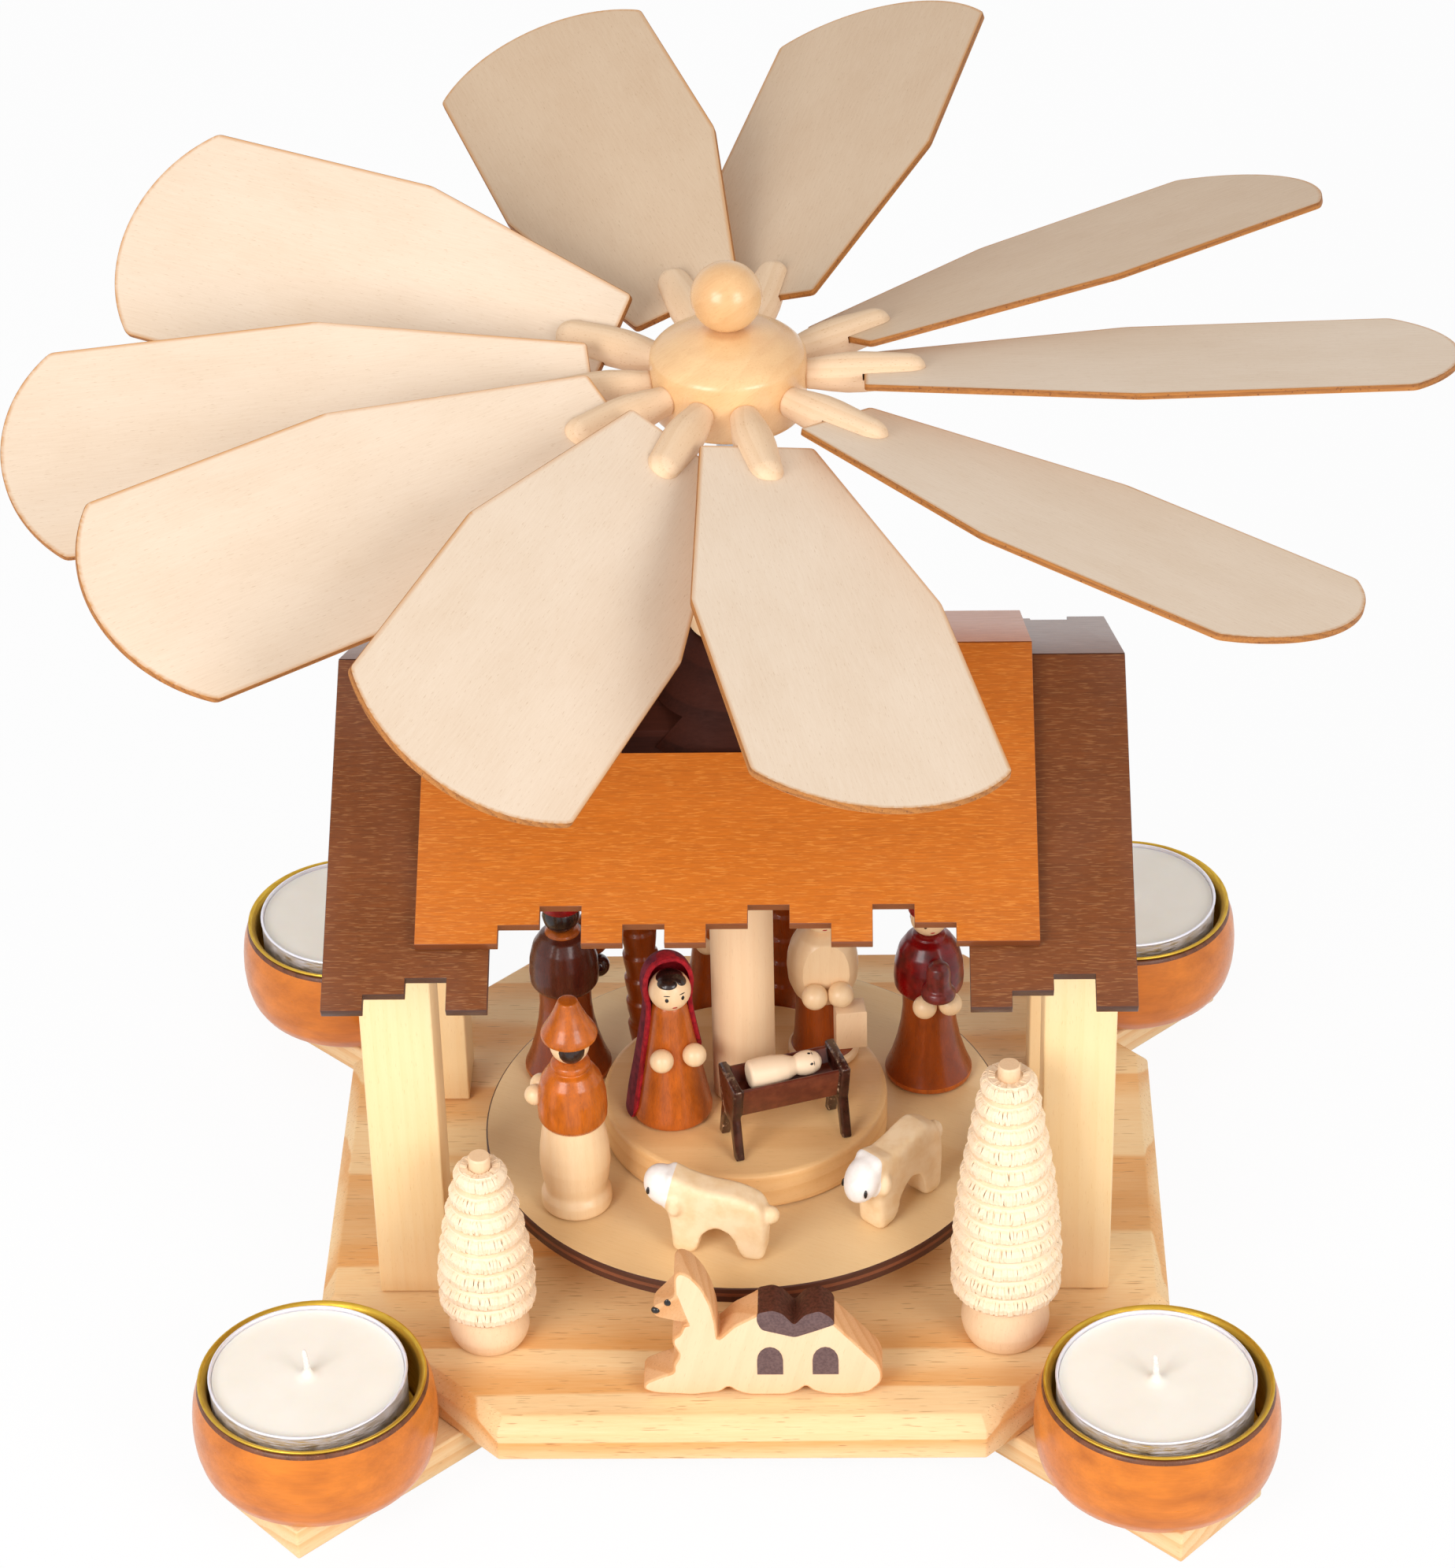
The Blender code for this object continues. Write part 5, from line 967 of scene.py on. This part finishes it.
# Kings: flared skirts, glossy coats, caps, and a bell-shaped gift in both hands
king = {
    "body": [(0, 35.4), (2.6, 35.2), (3.3, 34.7), (3.4, 34.3), (4.6, 33.6), (6.1, 31.2), (6.9, 27.8), (7.1, 24.6),
             (6.95, 22.4), (6.3, 21.4), (5.5, 21.2), (5.35, 20.0), (5.3, 16.5), (5.7, 12.6), (6.5, 8.4), (7.7, 4.2),
             (8.6, 1.9), (8.9, 1.3), (8.85, 0.4), (8.5, 0.05), (0, 0)],
    "head": (3.75, (0, 0, 38.4)), "around": 36, "face": ((24, 2),), "hair": ((180, 0, 5.2, 4.2, 0.3),),
    "cap": [(0, 46.0), (1.7, 45.8), (3.2, 44.9), (4.1, 43.2), (4.35, 41.4), (4.15, 40.3), (3.4, 40.2), (0, 40.4)],
    "gift": [(0, 33.4), (1.2, 33.2), (2.1, 32.3), (2.45, 30.8), (2.45, 28.6), (2.6, 27.4), (3.2, 26.8), (3.5, 26.0),
             (3.45, 25.2), (3.0, 24.8), (0, 24.8)],
    "giftPlace": (0, -8.5, 0),
    "bands": ((1.35, 2), (21.25, 0), (34.2, 1), (99, 3)), "hands": (2.6, 7.7, 22.0, 2.45),
}
kings = {   # each one's coat, skin, cap, ring and gift
    "king_right": ("darkRed", "limeWood", "redCap", "darkRed", "plum"),
    "king_left": ("glazeDark", "glazeUmber", "redCap", "glazeOrange", "glazeBrown"),
    "king_rear": ("plum", "limeWood", "darkRed", "plum", "glazeOrange"),
}
for name, (coat, skin, cap, ring, gift) in kings.items():
    seat = seats[name]
    body = banded(spun(king["body"], 64, 0.4), *king["bands"])
    finished(name + "_body", body, ["glazeBrown", coat, "glazeOrange", ring], "rotor", [name], seat)
    headAndFace(name, seat, king, skin)
    finished(name + "_cap", spun(king["cap"], 48, 0.4), [cap], "rotor", (), seat)
    bell = spun(king["gift"], 40, 0.25)
    finished(name + "_gift", bell, [gift], "rotor", (), seat @ at(*king["giftPlace"]))
    handBalls(name, king, skin)
print("standing figures done")

# Crib and infant
cribLook = {"ease": 0.3, "ends": 8.4, "endBoard": (8.6, 9.8), "inward": 0.3, "outward": 0.45}
crib, home = boardFrom("crib", cribLook["ease"]), seats["crib"]
inner, outer = cribLook["endBoard"]
for vertex in crib.verts:   # the enamel thickens the end boards
    along = (home.inverted() @ vertex.co).x / mm
    if abs(along) > inner:
        push = cribLook["outward"] if abs(along) > outer else -cribLook["inward"]
        vertex.co += home.to_3x3() @ Vector((math.copysign(push, along) * mm, 0, 0))
for face in crib.faces:   # the ends with their legs are darker than the trough
    along = (home.inverted() @ face.calc_center_median()).x
    face.material_index = 0 if abs(along) > cribLook["ends"] * mm else 1
finished("crib_painted", crib, ["cribPaint", "cribSide"], "rotor", ["crib"], None, 40.0)
infant = {
    "body": [(0, 0), (2.3, 0.05), (2.9, 0.5), (3.1, 2.6), (3.0, 5.4), (2.6, 7.8), (2.0, 9.2), (1.8, 9.7), (2.15, 10.3),
             (2.5, 11.6), (2.45, 13.0), (1.75, 14.5), (0.8, 15.1), (0, 15.2)],
    "lies": (-7.6, 0, 16.45), "roll": -55, "head": (2.5, (0, 0, 12.3)), "face": ((27, 6), -24, 0.75),
}
radius, centre = infant["head"]
lying = seats["crib"] @ at(*infant["lies"]) @ Matrix.Rotation(math.pi / 2, 4, "Y") @ at(0, 0, 0, infant["roll"])
finished("infant_body", spun(infant["body"], 40, 0.4), ["infantWood"], "rotor", ["infant"], lying)
face = faced(centre, radius, *infant["face"])
finished("infant_face", face, ["blackDot", "redDot"], "rotor", (), lying)

# Sheep: sawn, rounded all over and dipped, with a white head
sheep = {
    "length": 24.2, "height": 19.5, "thickness": 6.6,
    "outline": [
        (-0.434, 0.0), (-0.24, 0.0), (-0.231, 0.113), (-0.19, 0.256), (-0.124, 0.349), (-0.041, 0.369), (0.05, 0.308),
        (0.099, 0.18), (0.112, 0.0), (0.322, 0.0), (0.331, 0.256), (0.355, 0.487), (0.413, 0.564), (0.364, 0.938),
        (0.306, 0.944), (0.207, 0.872), (0.041, 0.81), (-0.207, 0.779), (-0.38, 0.697), (-0.438, 0.59),
        (-0.455, 0.41), (-0.446, 0.205),
    ],
    "head": (3.9, (0, -9.7, 14.2), (0.94, 0.97, 1.17), 25.0),
    "ears": (1.5, (3.6, -7.0, 11.8), (0.8, 1.0, 1.5)),
    "tail": (2.0, (0, 11.3, 9.8), (0.9, 1.0, 1.0)),
    "eye": (3.85, 50, 6, 0.36, 0.85, 0.35),
    "nod": {"sheep_left": 0.0, "sheep_right": 1.5},   # how far the head hangs down
    "rump": {"sheep_left": 0.0, "sheep_right": 0.24},   # how much taller it stands behind
    "nodOver": (3.0, 6.7), "rumpOver": (4.0, 10),   # where each begins, before and behind the middle, and its length
    "neck": ((0, -8.25, 14.0), (0, -1.0, 0.21)), "whiteAbove": 8.8,
}
for name in ("sheep_left", "sheep_right"):
    outline = [(x * sheep["length"], z * sheep["height"]) for x, z in sheep["outline"]]
    body = sawnShape(softened(outline, 1.6, 3, True), sheep["thickness"], 1.4, 3)
    upended = Matrix(((0, 0, 1, 0), (-1, 0, 0, 0), (0, 1, 0, 0), (0, 0, 0, 1)))
    bmesh.ops.transform(body, matrix=upended, verts=body.verts)
    bmesh.ops.recalc_face_normals(body, faces=body.faces)
    radius, (x, y, z), stretch = sheep["ears"]
    *head, tilt = sheep["head"]
    body = joined(body, ballShape(*head, turn=Matrix.Rotation(math.radians(tilt), 4, "X")),
                  ballShape(radius, (x, y, z), stretch), ballShape(radius, (-x, y, z), stretch),
                  ballShape(*sheep["tail"]))
    body = worked(body, [("REMESH", {"mode": "VOXEL", "voxel_size": 0.38 * mm}),
                         ("SMOOTH", {"factor": 0.5, "iterations": 12})])
    point, outward = sheep["neck"]
    sliced(body, point, outward, False)
    for face in body.faces:
        middle = face.calc_center_median()
        beyond = (middle - Vector(point) * mm).dot(Vector(outward)) > 0
        face.material_index = 1 if beyond and middle.z > sheep["whiteAbove"] * mm else 0
    reach, side, up, wide, tall, proud = sheep["eye"]
    eyes = joined(*[dab(head[1], reach, turn, up, wide, tall, proud) for turn in (-side, side)])
    (front, neckLong), (back, backLong) = sheep["nodOver"], sheep["rumpOver"]
    for vertex in body.verts[:] + eyes.verts[:]:
        along = vertex.co.y / mm
        vertex.co.z -= sheep["nod"][name] * (max(0.0, -front - along) / neckLong) ** 2 * mm
        vertex.co.z *= 1 + sheep["rump"][name] * min(1.0, max(0.0, back + along) / backLong)
    finished(f"{name}_body", body, ["sheepCream", "sheepWhite"], "rotor", [name], seats[name], 60.0)
    finished(f"{name}_eyes", eyes, ["blackDot"], "rotor", (), seats[name])
print("crib and sheep done")

# Palms: thirteen flared rings and seven drooping leaves, leaning a little outwards
palm = {
    "height": 76.0, "rings": 13, "radius": 3.7, "waist": 3.15, "gap": 0.3, "lean": 2.0,
    "ring": ((-0.4, 0.02), (0.0, 0.6), (-0.15, 2.6)),   # out from the radius and down from the ring's top
    "leaf": [(1.0, -1.1), (5.0, -2.4), (9.0, -2.2), (13.0, 0.0), (9.0, 2.2), (5.0, 2.4), (1.0, 1.1)],
    "leaves": 7, "droop": 0.034,
}
for name, side in (("palm_left", -1), ("palm_right", 1)):
    rise = palm["height"] / palm["rings"]
    profile = [(0, palm["height"])]
    for i in range(palm["rings"]):
        top = palm["height"] - i * rise
        profile += [(palm["radius"] + out, top - down) for out, down in palm["ring"]]
        profile.append((palm["waist"], top - rise + palm["gap"]))
    trunk = spun(profile + [(0, 0)], 36, 0.25)
    for i in range(palm["leaves"]):
        leaf = sawnShape(softened(palm["leaf"], 1.2, 4, True), 0.9, 0.2)
        bmesh.ops.triangulate(leaf, faces=leaf.faces)
        for vertex in leaf.verts:
            vertex.co.z -= palm["droop"] * (vertex.co.x / mm) ** 2 * mm
        place = at(0, 0, palm["height"] - 0.1, 360 * i / palm["leaves"])
        bmesh.ops.transform(leaf, matrix=place, verts=leaf.verts)
        trunk = joined(trunk, leaf)
    leaning = seats[name] @ Matrix.Rotation(math.radians(side * palm["lean"]), 4, "Y")
    finished(f"{name}_trunk", trunk, ["glazeBrown"], "rotor", [name], leaning)
print("palms done")
